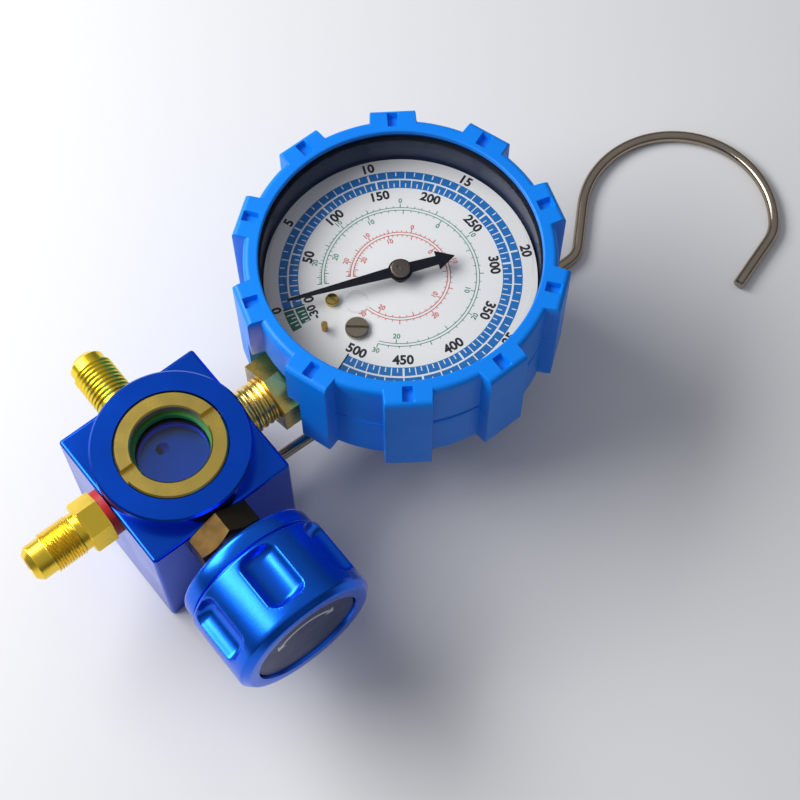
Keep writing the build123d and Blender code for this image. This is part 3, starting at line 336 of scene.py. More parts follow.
def place_mesh(name: str, mesh: bpy.types.Mesh, finish: Finish, body: str) -> bpy.types.Object:
    """Put a finished mesh in the scene, give it its finish's material and tie it to its body.

    Args:
        name: the object's name.
        mesh: its mesh.
        finish: its finish.
        body: the CAD body it rides on.

    Returns:
        The new object.
    """
    piece = bpy.data.objects.new(name, mesh)
    bpy.context.scene.collection.objects.link(piece)
    mesh.materials.clear()
    mesh.materials.append(finish.material())
    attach(piece, body)
    LOG.info("%s: %d faces on %s", name, len(mesh.polygons), body)
    return piece


def ring_sector(inner: float, outer: float, start: float, end: float, step: float = 1.5) -> np.ndarray:
    """Flat band between two radii and two angles, as a grid of (2, n, 2) points round the origin.

    A point is its radius times the cosine and sine of its angle.

    Args:
        inner: inner radius in mm.
        outer: outer radius in mm.
        start: first angle in degrees.
        end: last angle in degrees.
        step: about how many degrees between points.

    Returns:
        The grid.
    """
    count = max(2, int(abs(end - start) / step) + 2)
    angle = np.radians(np.linspace(start, end, count))
    radius = np.array([[inner], [outer]])
    return np.stack([radius * np.cos(angle), radius * np.sin(angle)], axis=-1)


def bars(angles: np.ndarray, inner: np.ndarray, outer: np.ndarray, width: np.ndarray) -> np.ndarray:
    """Radial bars as an array of (n, 4, 2) corners.

    A bar's centre line runs along its angle, and its sides lie half its width to either side.

    Args:
        angles: degrees, one for each bar.
        inner: inner radii in mm.
        outer: outer radii in mm.
        width: widths in mm.

    Returns:
        The corners, counterclockwise.
    """
    turn = np.radians(angles)
    out = np.stack([np.cos(turn), np.sin(turn)], axis=-1)
    side = np.stack([-np.sin(turn), np.cos(turn)], axis=-1) * (np.asarray(width) / 2)[:, None]
    near = out * np.asarray(inner)[:, None]
    far = out * np.asarray(outer)[:, None]
    return np.stack([near - side, far - side, far + side, near + side], axis=1)


class Print:
    """Thin inked shapes collected into one mesh, lying a set height above the dial's face."""

    def __init__(self, lift: float) -> None:
        """Start an empty print at a lift above the dial's face, in millimetres."""
        self.height = DIAL_FACE + lift
        self.points: list[np.ndarray] = []
        self.faces: list[list[int]] = []
        self.count = 0

    def _put(self, flat: np.ndarray, faces: Sequence[Sequence[int]]) -> None:
        """Add flat points, in mm round the gauge's middle, and the faces that join them."""
        heights = np.full((len(flat), 1), self.height)
        self.points.append(np.concatenate([flat + np.array([0.0, GAUGE_Y]), heights], axis=1))
        self.faces.extend([[k + self.count for k in face] for face in faces])
        self.count += len(flat)

    def band(self, inner: float, outer: float, start: float, end: float) -> None:
        """Add a band between two radii and two angles."""
        grid = ring_sector(inner, outer, start, end)
        columns = grid.shape[1]
        faces = [[k + 1, k, columns + k, columns + k + 1] for k in range(columns - 1)]
        self._put(grid.reshape(-1, 2), faces)

    def ticks(self, angles: np.ndarray, inner: np.ndarray, outer: np.ndarray, width: np.ndarray) -> None:
        """Add radial bars."""
        corners = bars(angles, inner, outer, width)
        faces = [[4 * k, 4 * k + 1, 4 * k + 2, 4 * k + 3] for k in range(len(angles))]
        self._put(corners.reshape(-1, 2), faces)

    def number(self, words: str, radius: float, angle: float, size: float, tops_in: bool = False,
               weight: float = 0.0) -> None:
        """Add a number centred on a radius and an angle.

        Args:
            words: its digits.
            radius: mm from the gauge's middle.
            angle: degrees.
            size: height of the font in mm.
            tops_in: True turns the tops of the digits towards the middle.
            weight: extra boldness in mm.
        """
        curve = bpy.data.curves.new("figure", "FONT")
        curve.body = words
        curve.size = size
        curve.align_x = "CENTER"
        curve.align_y = "CENTER"
        curve.offset = weight
        curve.resolution_u = 3
        holder = bpy.data.objects.new("figure", curve)
        bpy.context.scene.collection.objects.link(holder)
        bpy.context.view_layer.update()
        made = bpy.data.meshes.new_from_object(holder)
        flat = np.empty(len(made.vertices) * 3)
        made.vertices.foreach_get("co", flat)
        flat = flat.reshape(-1, 3)[:, :2]
        faces = [list(polygon.vertices) for polygon in made.polygons]
        bpy.data.objects.remove(holder)
        bpy.data.curves.remove(curve)
        bpy.data.meshes.remove(made)
        turn = np.radians(angle + (90.0 if tops_in else -90.0))
        spin = np.array([[np.cos(turn), -np.sin(turn)], [np.sin(turn), np.cos(turn)]])
        where = radius * np.array([np.cos(np.radians(angle)), np.sin(np.radians(angle))])
        self._put(flat @ spin.T + where, faces)

    def finish(self, name: str, ink: Finish) -> bpy.types.Object:
        """Turn what was collected into one thin raised piece.

        Args:
            name: the piece's name.
            ink: its ink.

        Returns:
            The new object.
        """
        mesh = bpy.data.meshes.new(name)
        mesh.from_pydata((np.concatenate(self.points) * MM).tolist(), [], self.faces)
        mesh.validate()
        return place_mesh(name, mesh, ink, "base")


# ---- sub-assemblies

@dataclass
class DialPrinting:
    """Two-row pressure band, vacuum zone and the two small temperature rings, with plain figures."""

    zero: float = 250.0
    full: float = -69.0
    inner_full: float = 500.0
    outer_step_angle: float = 46.3
    band_outer: float = 31.0
    band_split: float = 28.6
    band_inner: float = 26.0
    green_radius: float = 19.7
    red_radius: float = 12.35
    vacuum_end: float = 262.0
    figure_size: float = 3.5
    figure_weight: float = 0.13
    outer_figures: float = 32.7
    inner_figures: float = 24.0
    tops_in_below: float = 20.0

    def inner_angle(self, value: np.ndarray | float) -> np.ndarray | float:
        """Angle of a value on the inner scale."""
        return self.zero + (self.full - self.zero) * value / self.inner_full

    def outer_angle(self, value: np.ndarray | float) -> np.ndarray | float:
        """Angle of a value on the outer scale."""
        return self.zero - self.outer_step_angle / 5.0 * value

    def build(self) -> None:
        """Make every printed piece."""
        blue = Print(PRINT_THICKNESS)
        blue.band(self.band_split + 0.25, self.band_outer, self.zero, self.full)
        blue.band(self.band_inner, self.band_split - 0.25, self.zero, self.full)
        blue.finish("dial_blue_band", INK_BLUE)
        self._white_ticks()
        self._vacuum()
        self._figures()
        self._temperature_ring("green", self.green_radius, INK_LEAF, 238.0, -55.0, 1.891, 2.35)
        self._temperature_ring("red", self.red_radius, INK_RED, 232.0, -80.0, 1.769, 2.1)

    def _white_ticks(self) -> None:
        """White gaps across both blue rows: units outside, tens inside, longer at the figures."""
        ticks = Print(2 * PRINT_THICKNESS)
        last = (self.zero - self.full) / self.outer_step_angle * 5.0
        fine = np.arange(0.5, last, 0.5)
        units = np.isclose(fine % 1.0, 0.0)
        ticks.ticks(self.outer_angle(fine), np.where(units, 28.8, 29.6), np.full(len(fine), 30.75),
                    np.where(np.isclose(fine % 5.0, 0.0), 0.5, 0.28))
        tens = np.arange(5.0, self.inner_full, 5.0)
        whole = np.isclose(tens % 10.0, 0.0)
        ticks.ticks(self.inner_angle(tens), np.full(len(tens), 26.2), np.where(whole, 28.4, 27.4),
                    np.where(np.isclose(tens % 50.0, 0.0), 0.5, 0.26))
        ticks.finish("dial_white_ticks", DIAL_ENAMEL)

    def _vacuum(self) -> None:
        """Green zone below zero with its own white ticks."""
        zone = Print(PRINT_THICKNESS)
        zone.band(self.band_inner - 0.3, self.band_split - 0.35, self.zero + 1.0, self.vacuum_end - 1.5)
        zone.band(self.band_split + 0.1, self.band_outer + 0.2, self.zero + 1.0, self.vacuum_end)
        zone.finish("dial_vacuum_zone", INK_GREEN)
        ticks = Print(2 * PRINT_THICKNESS)
        angles = np.linspace(self.zero + 3.4, self.vacuum_end - 2.2, 4)
        ticks.ticks(angles, np.full(4, 28.9), np.array([30.9, 30.0, 30.9, 30.0]), np.full(4, 0.3))
        ticks.ticks(angles, np.full(4, 26.1), np.array([27.9, 27.2, 27.9, 27.2]), np.full(4, 0.3))
        ticks.finish("dial_vacuum_ticks", DIAL_ENAMEL)

    def _figures(self) -> None:
        """Black figures of both scales and the short black lines at their ends."""
        ink = Print(PRINT_THICKNESS)
        for value in range(0, 35, 5):
            angle = self.outer_angle(value) - 1.0
            ink.number(str(value), self.outer_figures, angle, self.figure_size,
                       tops_in=angle < self.tops_in_below, weight=self.figure_weight)
        for value in range(0, 501, 50):
            angle = self.inner_angle(value) + (3.0 if value == 500 else -2.5 if value == 0 else 0.0)
            ink.number(str(value), self.inner_figures, angle, self.figure_size,
                       tops_in=angle < self.tops_in_below, weight=self.figure_weight)
        ink.number("-30", 24.2, 256.5, 3.1, weight=0.11)
        ink.ticks(np.array([self.zero, self.full]), np.array([25.6, 25.6]), np.array([31.2, 31.2]),
                  np.array([0.35, 0.35]))
        ink.finish("dial_figures", INK_BLACK)

    def _temperature_ring(self, name: str, radius: float, ink: Finish, start: float, end: float,
                          size: float, reach: float) -> None:
        """A double hairline with ticks on both sides and small figures inside and outside.

        A tick's angle grows as a power of its count, about one and a half, so the ticks spread along the
        travel as the boiling point's do over the pressure.

        Args:
            name: the ring's name.
            radius: its middle radius in mm.
            ink: its ink.
            start: angle of its first tick.
            end: angle of its last tick.
            size: height of its figures in mm.
            reach: distance of the figures from the ring in mm.
        """
        ring = Print(PRINT_THICKNESS)
        ring.band(radius + 0.28, radius + 0.48, start, end)
        ring.band(radius - 0.48, radius - 0.28, start, end)
        every = 5
        for row, count, last, power in ((1, 61, 1.0, 1.6), (-1, 51, 0.97, 1.5)):
            angles = start + (end - start) * np.linspace(0.0, last, count) ** power
            long_tick = np.arange(count) % every == 0
            tips = radius + row * np.where(long_tick, 1.5, 0.95)
            feet = np.full(count, radius + row * 0.4)
            ring.ticks(angles, np.minimum(tips, feet), np.maximum(tips, feet),
                       np.where(long_tick, 0.22, 0.16))
            for k, angle in enumerate(angles[::every * 2][1:], start=1):
                ring.number(str(abs(10 * (k - 3))), radius + row * reach, float(angle), size,
                            tops_in=angle < self.tops_in_below, weight=0.035)
        ring.finish(f"dial_{name}_ring", ink)


@dataclass
class TurnedFitting:
    """A turned and threaded brass piece: collars, a helical thread and, on some, a hexagon and a cone."""

    name: str
    axis: str
    sign: float
    stations: Sequence[tuple[float, float]]
    thread: tuple[float, float]
    crest: float
    pitch: float
    depth: float
    finish: Finish
    replaces: str = ""
    slot: str = "brass_fitting"
    hexagon: tuple[float, float, float, float] | None = None
    around: int = 144

    def build(self) -> bpy.types.Object:
        """Make the fitting's outside, its mouth and its bore as one surface.

        A point's radius is the turned profile at its station, less a helical groove inside the thread, and
        inside the hexagon the least of that profile and the flat's distance over the cosine of the angle
        from the flat's middle.

        Returns:
            The new object.
        """
        along = np.array([s[0] for s in self.stations])
        radius = np.array([s[1] for s in self.stations])
        fine = [np.linspace(a, b, max(2, int(abs(b - a) / 0.09)) if self._threaded(a, b) else
                            (14 if abs(b - a) > 0.4 else 4)) for a, b in zip(along[:-1], along[1:])]
        shade = [np.interp(np.linspace(0, 1, len(f)), [0, 1], [r0, r1])
                 for f, r0, r1 in zip(fine, radius[:-1], radius[1:])]
        u = np.concatenate(fine)
        profile = np.concatenate(shade)
        v = np.linspace(0.0, 2 * np.pi, self.around, endpoint=False)
        grid_u, grid_v = np.meshgrid(u, v, indexing="ij")
        grid_r = np.repeat(profile[:, None], len(v), axis=1)
        grid_r = grid_r - self._groove(grid_u, grid_v, grid_r)
        if self.hexagon is not None:
            grid_r = self._flats(grid_u, grid_v, grid_r)
        c = np.cos(grid_v) * grid_r
        s = np.sin(grid_v) * grid_r
        if self.axis == "y":
            points = np.stack([c, self.sign * grid_u, PORT_HEIGHT + s], axis=-1)
        else:
            points = np.stack([self.sign * grid_u, VALVE_Y + c, PORT_HEIGHT + s], axis=-1)
        piece = surface(self.name, points, self.finish, "base")
        if (self.axis == "y") == (self.sign > 0):
            piece.data.flip_normals()
        if self.replaces:
            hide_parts(self.replaces)
        return piece

    def _threaded(self, a: float, b: float) -> bool:
        """True if a stretch lies in the thread."""
        within = min(a, b) >= self.thread[0] - 0.01 and max(a, b) <= self.thread[1] + 0.01
        return within and abs(b - a) > 1.0

    def _groove(self, u: np.ndarray, v: np.ndarray, r: np.ndarray) -> np.ndarray:
        """Depth of the helical groove: a raised cosine of the station less the turn, faded at both ends."""
        inside = (u > self.thread[0]) & (u < self.thread[1]) & (r > self.crest - 0.02)
        wave = 0.5 - 0.5 * np.cos(2 * np.pi * (u / self.pitch - v / (2 * np.pi)))
        fade = np.clip((u - self.thread[0]) / (0.5 * self.pitch), 0, 1)
        fade = fade * np.clip((self.thread[1] - u) / (0.5 * self.pitch), 0, 1)
        return np.where(inside, self.depth * wave ** 0.8 * fade, 0.0)

    def _flats(self, u: np.ndarray, v: np.ndarray, r: np.ndarray) -> np.ndarray:
        """Radius with the hexagon's flats applied between its two stations."""
        start, end, flats, turn = self.hexagon
        within = (u >= start - 1e-6) & (u <= end + 1e-6)
        off = np.mod(v - np.radians(turn) + np.pi / 6, np.pi / 3) - np.pi / 6
        flat = flats / 2 / np.cos(off)
        return np.where(within, np.minimum(flat, r), r)


END_PORT = TurnedFitting(
    "end_port_turned", axis="y", sign=-1.0, stations=[
        (12.75, 5.0), (22.65, 5.0), (22.65, 7.05), (28.45, 7.05), (28.85, 6.5), (28.85, 5.2), (30.6, 5.2),
        (30.95, 5.0), (30.95, 5.556), (38.95, 5.556), (38.95, 4.95), (39.1, 4.9), (43.15, 4.9),
        (44.7, 3.5), (44.75, 3.1), (44.75, 1.9), (30.0, 1.9), (12.8, 1.9)],
    thread=(30.95, 38.95), crest=5.556, pitch=0.76, depth=0.34, finish=TURNED_BRASS_Y,
    replaces="end_port", hexagon=(22.65, 28.85, 12.2, 70.0))
SIDE_PORT = TurnedFitting(
    "side_port_turned", axis="x", sign=-1.0, stations=[
        (12.75, 5.0), (20.75, 5.0), (20.75, 5.2), (22.3, 5.2), (22.45, 5.0), (22.45, 5.556), (33.95, 5.556),
        (33.95, 4.95), (34.1, 4.9), (36.85, 4.9), (38.3, 3.5), (38.35, 3.1), (38.35, 1.9), (25.0, 1.9),
        (12.8, 1.9)],
    thread=(22.45, 33.95), crest=5.556, pitch=1.25, depth=0.42, finish=TURNED_BRASS_X,
    replaces="side_port")
NECK = TurnedFitting(
    "neck_thread", axis="y", sign=1.0, stations=[(20.85, 5.82), (21.0, 6.2), (28.1, 6.2), (28.3, 5.82)],
    thread=(21.0, 28.1), crest=6.2, pitch=1.75, depth=0.36, finish=MILLED_BRASS, slot="brass_stem")


@dataclass
class MouldedBoot:
    """Rubber boot: ten lugs with a notch in each front, a groove between them and the cut for the stem."""

    radius: float = 39.2
    lug_radius: float = 42.15
    lug_half: float = 6.0
    lug_step: float = 36.0
    back: float = 25.5
    front: float = 60.7
    bore: float = 36.6
    lip_bore: float = 35.4
    lip_back: float = 59.4
    inner_back: float = 27.3
    back_opening: float = 28.0
    front_edge: float = 1.5
    back_edge: float = 1.0
    groove: float = 43.1
    groove_depth: float = 0.7
    notch_radius: float = 38.9
    notch_half_length: float = 1.75
    notch_half_width: float = 1.3
    notch_depth: float = 1.6
    cut_half: float = 10.3
    cut_top: float = 44.6
    lug_mean: float = 40.7
    lug_side: float = 0.9
    notch_side: float = 0.4
    cut_side: float = 0.3

    def _angles(self) -> np.ndarray:
        """Angles in degrees, close together at the lugs' sides, the notches and the sides of the cut."""
        side = np.array([0.5, 0.8, 0.95, 1.1, 1.25, 1.4, 1.55, 1.8, 2.8, 4.0, 4.9, 5.2, 5.4, 5.6, 5.8, 6.0,
                         6.2, 6.4, 6.6, 6.9, 7.4, 8.6, 10.0, 11.4])
        one = np.degrees(np.concatenate([-side[::-1], [0.0], side]) / self.lug_mean)
        every = (np.arange(0.0, 360.0, self.lug_step)[:, None] + one).reshape(-1)
        edge = np.degrees(np.arcsin(self.cut_half / self.radius))
        close = np.array([-0.5, -0.3, -0.15, 0.0, 0.15, 0.3, 0.5])
        cut = np.concatenate([270.0 - edge + close, 270.0 + edge + close])
        return np.unique(np.round(np.mod(np.concatenate([every, cut]), 360.0), 3))

    def build(self) -> bpy.types.Object:
        """Make the boot as one closed skin.

        At each angle the outside radius is the barrel's, raised by an eased step to the lug's flat face
        (its distance over the cosine of the angle from its middle). The profile runs from the lip over the
        front, round a quarter circle, down the side with the groove's eased dip, and back inside.

        Returns:
            The new object.
        """
        angle = self._angles()
        turn = np.radians(angle)
        off = np.mod(angle + self.lug_step / 2, self.lug_step) - self.lug_step / 2
        across = self.lug_mean * np.sin(np.radians(off))
        lug = smooth_step((self.lug_half + self.lug_side / 2 - np.abs(across)) / self.lug_side)
        flat = self.lug_radius / np.cos(np.radians(off))
        outer = self.radius + lug * (flat - self.radius)
        soft = self.notch_side
        notch = smooth_step((self.notch_half_width + soft / 2 - np.abs(across)) / soft)
        rows: list[tuple[np.ndarray, np.ndarray]] = []

        def put(r: np.ndarray | float, z: np.ndarray | float) -> None:
            """Add one ring of the profile: its radius and its height at every angle."""
            rows.append((np.broadcast_to(r, angle.shape), np.broadcast_to(z, angle.shape)))

        for r, z in ((self.lip_bore, self.lip_back), (self.lip_bore, 60.2), (self.lip_bore + 0.06, 60.5),
                     (self.lip_bore + 0.25, 60.66)):
            put(r, z)
        start = self.lip_bore + 0.45
        for share in np.linspace(0.0, 1.0, 36):
            r = start + share * (outer - self.front_edge - start)
            along = smooth_step((self.notch_half_length + soft / 2 - np.abs(r - self.notch_radius)) / soft)
            put(r, self.front - self.notch_depth * (along * notch) * lug)
        for bend in np.radians(np.linspace(15.0, 90.0, 6)):
            put(outer - self.front_edge * (1 - np.sin(bend)),
                self.front - self.front_edge * (1 - np.cos(bend)))
        for z in (57.0, 53.0, 49.0, 46.5, 45.2, 44.9, 44.75, 44.6, 44.45, 44.3, 44.0, 43.75, 43.6, 43.45,
                  43.3, 43.1, 42.9, 42.75, 42.6, 42.45, 42.2, 41.0, 37.0, 33.0, 29.5, 27.6):
            dip = smooth_step((0.75 - abs(z - self.groove)) / 0.45) * self.groove_depth
            put(outer - dip * (1 - lug), z)
        for bend in np.radians(np.linspace(0.0, 90.0, 5)):
            put(outer - self.back_edge * (1 - np.cos(bend)),
                self.back + self.back_edge * (1 - np.sin(bend)))
        for r, z in ((34.0, self.back), (self.back_opening, self.back), (self.back_opening, self.inner_back),
                     (self.bore, self.inner_back), (self.bore, self.cut_top - self.cut_side / 2),
                     (self.bore, self.cut_top + self.cut_side / 2), (self.bore, self.lip_back)):
            put(r, z)
        radius = np.stack([r for r, _ in rows], axis=1)
        height = np.stack([z for _, z in rows], axis=1)
        side_x = np.abs(radius * np.cos(turn)[:, None])
        ahead = (np.sin(turn) < -0.8)[:, None]
        cut = smooth_step((self.cut_half + self.cut_side / 2 - side_x) / self.cut_side) * smooth_step(
            (self.cut_top + self.cut_side / 2 - height) / self.cut_side) * ahead
        beyond = radius > self.bore
        radius = np.where(beyond, radius + (self.bore - radius) * cut, radius)
        points = np.stack([radius * np.cos(turn)[:, None], GAUGE_Y + radius * np.sin(turn)[:, None], height],
                          axis=-1)
        open_at = (cut > 0.98) & (radius > self.bore - 0.02)
        piece = surface("boot_moulded", points, BOOT_RUBBER, "base", wrap_u=True,
                        open_at=open_at)
        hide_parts("boot")
        return piece


@dataclass
class FlutedKnob:
    """Turned and milled hand knob: a flange, a groove and a barrel with six rounded flutes."""

    start: float = 31.4
    end: float = 57.4
    cap_seat: float = 55.4
    radius: float = 19.4
    flange: float = 18.6
    flute_phase: float = 31.0
    flute_step: float = 60.0
    scoop: float = 6.2
    floor: float = 16.2
    flute_start: float = 37.4
    flute_end: float = 52.9
    run_out: float = 2.6
    blend: float = 0.9
    around: int = 540

    def build(self) -> bpy.types.Object:
        """Make the knob's outside, its end face and the cap's seat.

        A point's radius is the softer of two: the turned profile at its station, and the near side of a
        cutter's circle that lies parallel to the axis, whose radius shrinks along a quarter ellipse where
        the flute runs out.

        Returns:
            The new object.
        """
        profile = [(self.start, 4.2), (self.start, 12.0), (self.start, 17.3), (31.5, 17.8), (31.8, 18.25),
                   (32.3, 18.52), (32.9, self.flange), (35.7, self.flange), (35.9, 18.5), (36.0, 18.3),
                   (36.02, 17.9), (36.68, 17.9), (36.7, 18.9), (36.78, 19.15), (36.95, 19.33),
                   (37.2, self.radius)]
        profile += [(float(x), self.radius) for x in np.linspace(self.flute_start, self.flute_end, 52)]
        profile += [(53.6, self.radius), (54.6, self.radius), (55.5, 19.38), (55.8, 19.3), (56.0, 19.12),
                    (57.0, 18.12), (57.2, 17.95), (57.35, 17.7), (self.end, 17.4), (self.end, 15.0),
                    (57.35, 14.75), (57.2, 14.66), (55.45, 14.65), (self.cap_seat, 14.5),
                    (self.cap_seat, 5.2), (self.cap_seat, 1.0)]
        x = np.array([p[0] for p in profile])
        r = np.array([p[1] for p in profile])
        v = np.linspace(0.0, 360.0, self.around, endpoint=False)
        grid_x, grid_v = np.meshgrid(x, v, indexing="ij")
        grid_r = np.repeat(r[:, None], len(v), axis=1)
        off = np.mod(grid_v - self.flute_phase + self.flute_step / 2, self.flute_step) - self.flute_step / 2
        near = np.clip((self.flute_start + self.run_out - grid_x) / self.run_out, 0.0, 1.0)
        far = np.clip((grid_x - self.flute_end + self.run_out) / self.run_out, 0.0, 1.0)
        depth = self.radius - self.floor + 0.5
        shrink = depth * (1 - np.sqrt(1 - np.maximum(near, far) ** 2))
        centre = self.floor + self.scoop
        sway = centre * np.sin(np.radians(off))
        cutter = np.maximum(self.scoop - shrink, 0.1)
        inside = cutter ** 2 - sway ** 2
        flute = np.where(inside > 0, centre * np.cos(np.radians(off)) - np.sqrt(np.maximum(inside, 0.0)),
                         self.radius + 0.4 + (np.abs(sway) - cutter) * 0.8)
        beyond = (grid_x < self.flute_start) | (grid_x > self.flute_end)
        flute = np.where(beyond, self.radius + 9.0, flute)
        mix = np.clip(0.5 + 0.5 * (grid_r - flute) / self.blend, 0.0, 1.0)
        grid_r = grid_r * (1 - mix) + flute * mix - self.blend * mix * (1 - mix)
        turn = np.radians(grid_v)
        points = np.stack([grid_x, VALVE_Y + grid_r * np.cos(turn), PORT_HEIGHT + grid_r * np.sin(turn)],
                          axis=-1)
        piece = surface("knob_fluted", points, ANODISED_KNOB, "handle")
        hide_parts("knob")
        return piece


@dataclass
class PointerHub:
    """Turned boss in the middle of the pointer, with a short driver slot."""

    radius: float = 2.5
    base: float = 51.7
    top: float = 52.7
    slot_half_length: float = 0.95
    slot_half_width: float = 0.26
    slot_depth: float = 0.35
    slot_along: tuple[float, float] = (0.94, 0.34)

    def build(self) -> bpy.types.Object:
        """Make the boss: a barrel, a rounded shoulder and a slightly crowned top with an eased slot in it.

        Returns:
            The new object.
        """
        rings = [(self.radius, self.base), (self.radius, self.top - 0.25),
                 (self.radius - 0.08, self.top - 0.12), (self.radius - 0.25, self.top - 0.06)]
        rings += [(float(r), self.top - 0.06 * (float(r) / self.radius) ** 2)
                  for r in np.linspace(self.radius - 0.4, 0.02, 24)]
        r = np.array([ring[0] for ring in rings])[:, None]
        z = np.array([ring[1] for ring in rings])[:, None]
        v = np.linspace(0.0, 2 * np.pi, 96, endpoint=False)[None, :]
        x = r * np.cos(v)
        y = r * np.sin(v)
        ahead, aside = self.slot_along
        slot = smooth_step((self.slot_half_length - np.abs(x * ahead + y * aside)) / 0.2) * smooth_step(
            (self.slot_half_width - np.abs(y * ahead - x * aside)) / 0.14)
        points = np.stack([x, GAUGE_Y + y, np.broadcast_to(z, x.shape) - self.slot_depth * slot], axis=-1)
        piece = surface("pointer_hub_turned", points, HUB_STEEL, "pointer")
        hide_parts("pointer_hub")
        return piece


@dataclass
class CapArrow:
    """Curved double arrow in silver ink on the knob's end cap."""

    cap_face: float = 56.6
    inner: float = 8.6
    outer: float = 9.6
    start: float = 25.0
    end: float = 155.0
    head: float = 14.0
    head_width: float = 3.2

    def build(self) -> None:
        """Make the arc and its two heads, whose half width falls from the head's to nought at the tip."""
        middle = (self.inner + self.outer) / 2
        angle = np.radians(np.concatenate([
            [self.start, self.start + self.head],
            np.linspace(self.start + self.head, self.end - self.head, 40),
            [self.end - self.head, self.end]]))
        half = np.full(len(angle), (self.outer - self.inner) / 2)
        half[0] = half[-1] = 0.02
        half[1] = half[-2] = self.head_width / 2
        radius = np.stack([middle - half, middle + half])
        points = np.stack([np.full(radius.shape, self.cap_face + PRINT_THICKNESS),
                           VALVE_Y + radius * np.cos(angle), PORT_HEIGHT + radius * np.sin(angle)], axis=-1)
        piece = surface("knob_cap_arrow", points, INK_SILVER, "handle", wrap_v=False)
        piece.data.flip_normals()


@dataclass
class CadFinishes:
    """Which finish each CAD node wears."""

    table: dict[str, Finish] = field(default_factory=lambda: {
        "valve_block": ANODISED_BLOCK, "sight_ring": TURNED_BRASS_Z, "sight_gasket": GREEN_NITRILE,
        "sight_glass": SIGHT_GLASS, "end_port": TURNED_BRASS_Y, "end_port_washer": RED_FIBRE,
        # the gland nut wears brass painted dark for the knob's shade
        "side_port": TURNED_BRASS_X, "gland_nut": GLAND_BRASS_PAINTED_SHADE, "gland_packing": WHITE_PTFE,
        "seat_disc": WHITE_PTFE, "valve_stem": GROUND_STEEL, "stem_orings": BLACK_NITRILE,
        "knob": ANODISED_KNOB, "knob_screw": BRIGHT_STEEL, "knob_cap": ANODISED_CAP, "hook": NICKEL_WIRE,
        "hook_set_screw": BRIGHT_STEEL, "gauge_stem": MILLED_BRASS, "gauge_case": CASE_ENAMEL,
        "case_screws": BRIGHT_STEEL, "boot": BOOT_RUBBER, "lens_gasket": BLACK_NITRILE,
        "lens": CLEAR_PLASTIC, "lens_plug": CLEAR_PLASTIC, "bourdon_tube": CLOCK_BRASS,
        "tube_tip": CLOCK_BRASS, "link": CLOCK_BRASS, "sector_gear": CLOCK_BRASS, "pinion": GROUND_STEEL,
        "base_plate": CLOCK_BRASS, "top_plate": CLOCK_BRASS, "pillars": CLOCK_BRASS,
        "plate_screws": BRIGHT_STEEL, "hairspring": GROUND_STEEL, "dial_posts": CLOCK_BRASS,
        "dial": DIAL_ENAMEL, "stop_pin": CLOCK_BRASS, "dial_screw": BRIGHT_STEEL,
        "zero_screw": TURNED_BRASS_Z, "pointer": POINTER_ENAMEL, "pointer_hub": HUB_STEEL})

    def dress(self) -> None:
        """Put each node's finish on it."""
        for name, finish in self.table.items():
            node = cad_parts[name]
            material = finish.material()
            if not node.material_slots:
                node.data.materials.append(material)
            for place in node.material_slots:
                place.link = "OBJECT"
                place.material = material
            LOG.info("%s wears %s", name, finish.name)


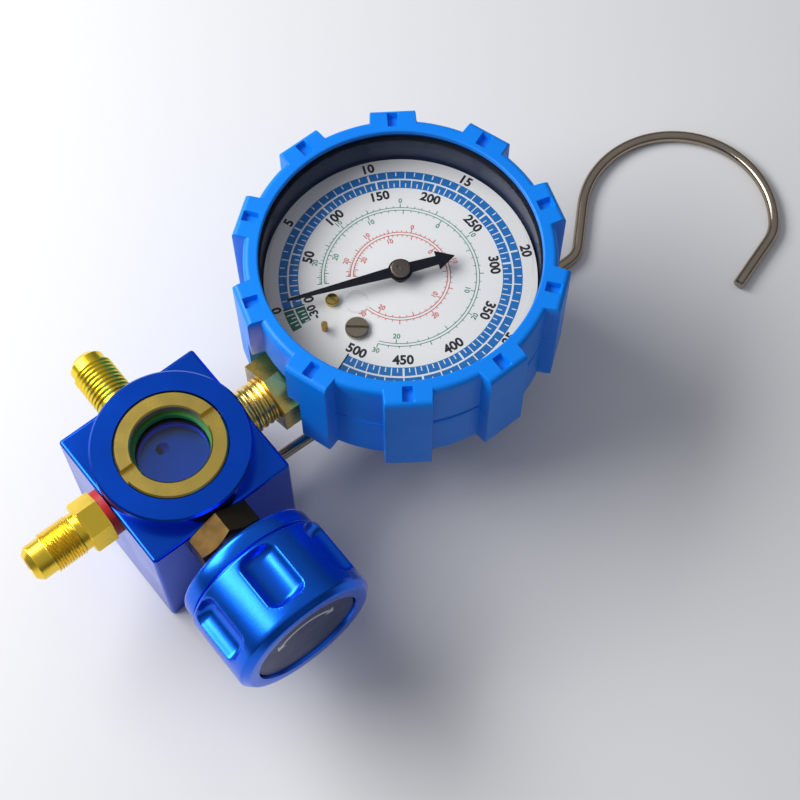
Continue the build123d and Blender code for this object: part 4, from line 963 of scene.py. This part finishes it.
@dataclass
class Studio:
    """Pale floor, graded room light, one soft box and the camera."""

    focal_mm: float = 79.46
    shift: tuple[float, float] = (0.0488, 0.0347)
    azimuth: float = 54.58
    elevation: float = 65.8
    roll: float = -3.1
    target: tuple[float, float, float] = (9.2, 51.02, 0.0)
    distance: float = 484.59
    horizon: float = 0.08
    zenith: float = 0.42
    aim_m: tuple[float, float, float] = (0.0, 0.04, 0.035)

    def camera(self) -> None:
        """Make the camera.

        Its back vector comes from azimuth and elevation; its right and up vectors are then rolled about it.
        """
        az, el, roll = np.radians([self.azimuth, self.elevation, self.roll])
        back = np.array([np.sin(az) * np.cos(el), -np.cos(az) * np.cos(el), np.sin(el)])
        right = np.cross(-back, [0.0, 0.0, 1.0])
        right = right / np.linalg.norm(right)
        up = np.cross(right, -back)
        rolled_right = np.cos(roll) * right + np.sin(roll) * up
        rolled_up = -np.sin(roll) * right + np.cos(roll) * up
        where = (np.array(self.target) + back * self.distance) * MM
        data = bpy.data.cameras.new("camera")
        data.lens = self.focal_mm
        data.sensor_width = 36.0
        data.shift_x, data.shift_y = self.shift
        data.clip_start = 0.01
        camera = bpy.data.objects.new("camera", data)
        columns = np.stack([rolled_right, rolled_up, back], axis=1)
        camera.matrix_world = Matrix.Translation(Vector(where)) @ Matrix(columns.tolist()).to_4x4()
        bpy.context.scene.collection.objects.link(camera)
        bpy.context.scene.camera = camera

    def light(self, name: str, azimuth: float, elevation: float, distance: float, size: tuple[float, float],
              power: float) -> None:
        """Add one soft box aimed at the object.

        Args:
            name: its name.
            azimuth: degrees round from +X towards +Y.
            elevation: degrees above the floor.
            distance: metres from the object's middle.
            size: its width and height in metres.
            power: watts.
        """
        data = bpy.data.lights.new(name, "AREA")
        data.shape = "RECTANGLE"
        data.size, data.size_y = size
        data.energy = power
        lamp = bpy.data.objects.new(name, data)
        az, el = np.radians([azimuth, elevation])
        out = Vector((np.cos(az) * np.cos(el), np.sin(az) * np.cos(el), np.sin(el)))
        where = Vector(self.aim_m) + out * distance
        lamp.matrix_world = Matrix.Translation(where) @ (-out).to_track_quat("-Z", "Y").to_matrix().to_4x4()
        bpy.context.scene.collection.objects.link(lamp)

    def world(self) -> None:
        """Give the room a soft grey that brightens smoothly towards the ceiling."""
        world = bpy.data.worlds.new("studio")
        world.use_nodes = True
        tree = world.node_tree
        upward = add_node(tree, "ShaderNodeSeparateXYZ", {
            "Vector": add_node(tree, "ShaderNodeTexCoord").outputs["Generated"]})
        glow = add_node(tree, "ShaderNodeMapRange", {
            "Value": upward.outputs["Z"], "From Min": 0.05, "From Max": 0.95, "To Min": self.horizon,
            "To Max": self.zenith}, interpolation_type="SMOOTHSTEP")
        background = tree.nodes["Background"]
        background.inputs["Color"].default_value = linear("#f6f8ff")
        tree.links.new(glow.outputs["Result"], background.inputs["Strength"])
        bpy.context.scene.world = world

    def build(self) -> None:
        """Make the floor, the world, the light and the camera."""
        mesh = bpy.data.meshes.new("floor")
        far = FLOOR_HALF_M
        mesh.from_pydata([(-far, -far, 0), (far, -far, 0), (far, far, 0), (-far, far, 0)], [],
                         [(0, 1, 2, 3)])
        floor = bpy.data.objects.new("floor", mesh)
        bpy.context.scene.collection.objects.link(floor)
        mesh.materials.append(PAPER.material())
        self.world()
        self.light("key_soft_box", azimuth=-142.0, elevation=42.0, distance=0.55, size=(0.6, 0.3), power=4.8)
        self.camera()


def main() -> None:
    """Dress the CAD nodes, add the modelled pieces and the studio."""
    logging.basicConfig(level=logging.INFO, format="%(message)s")
    bpy.context.scene.view_settings.view_transform = "Standard"
    CadFinishes().dress()
    DialPrinting().build()
    for fitting in (END_PORT, SIDE_PORT, NECK):
        fitting.build()
    MouldedBoot().build()
    FlutedKnob().build()
    PointerHub().build()
    CapArrow().build()
    Studio().build()


if __name__ == "__main__":
    main()
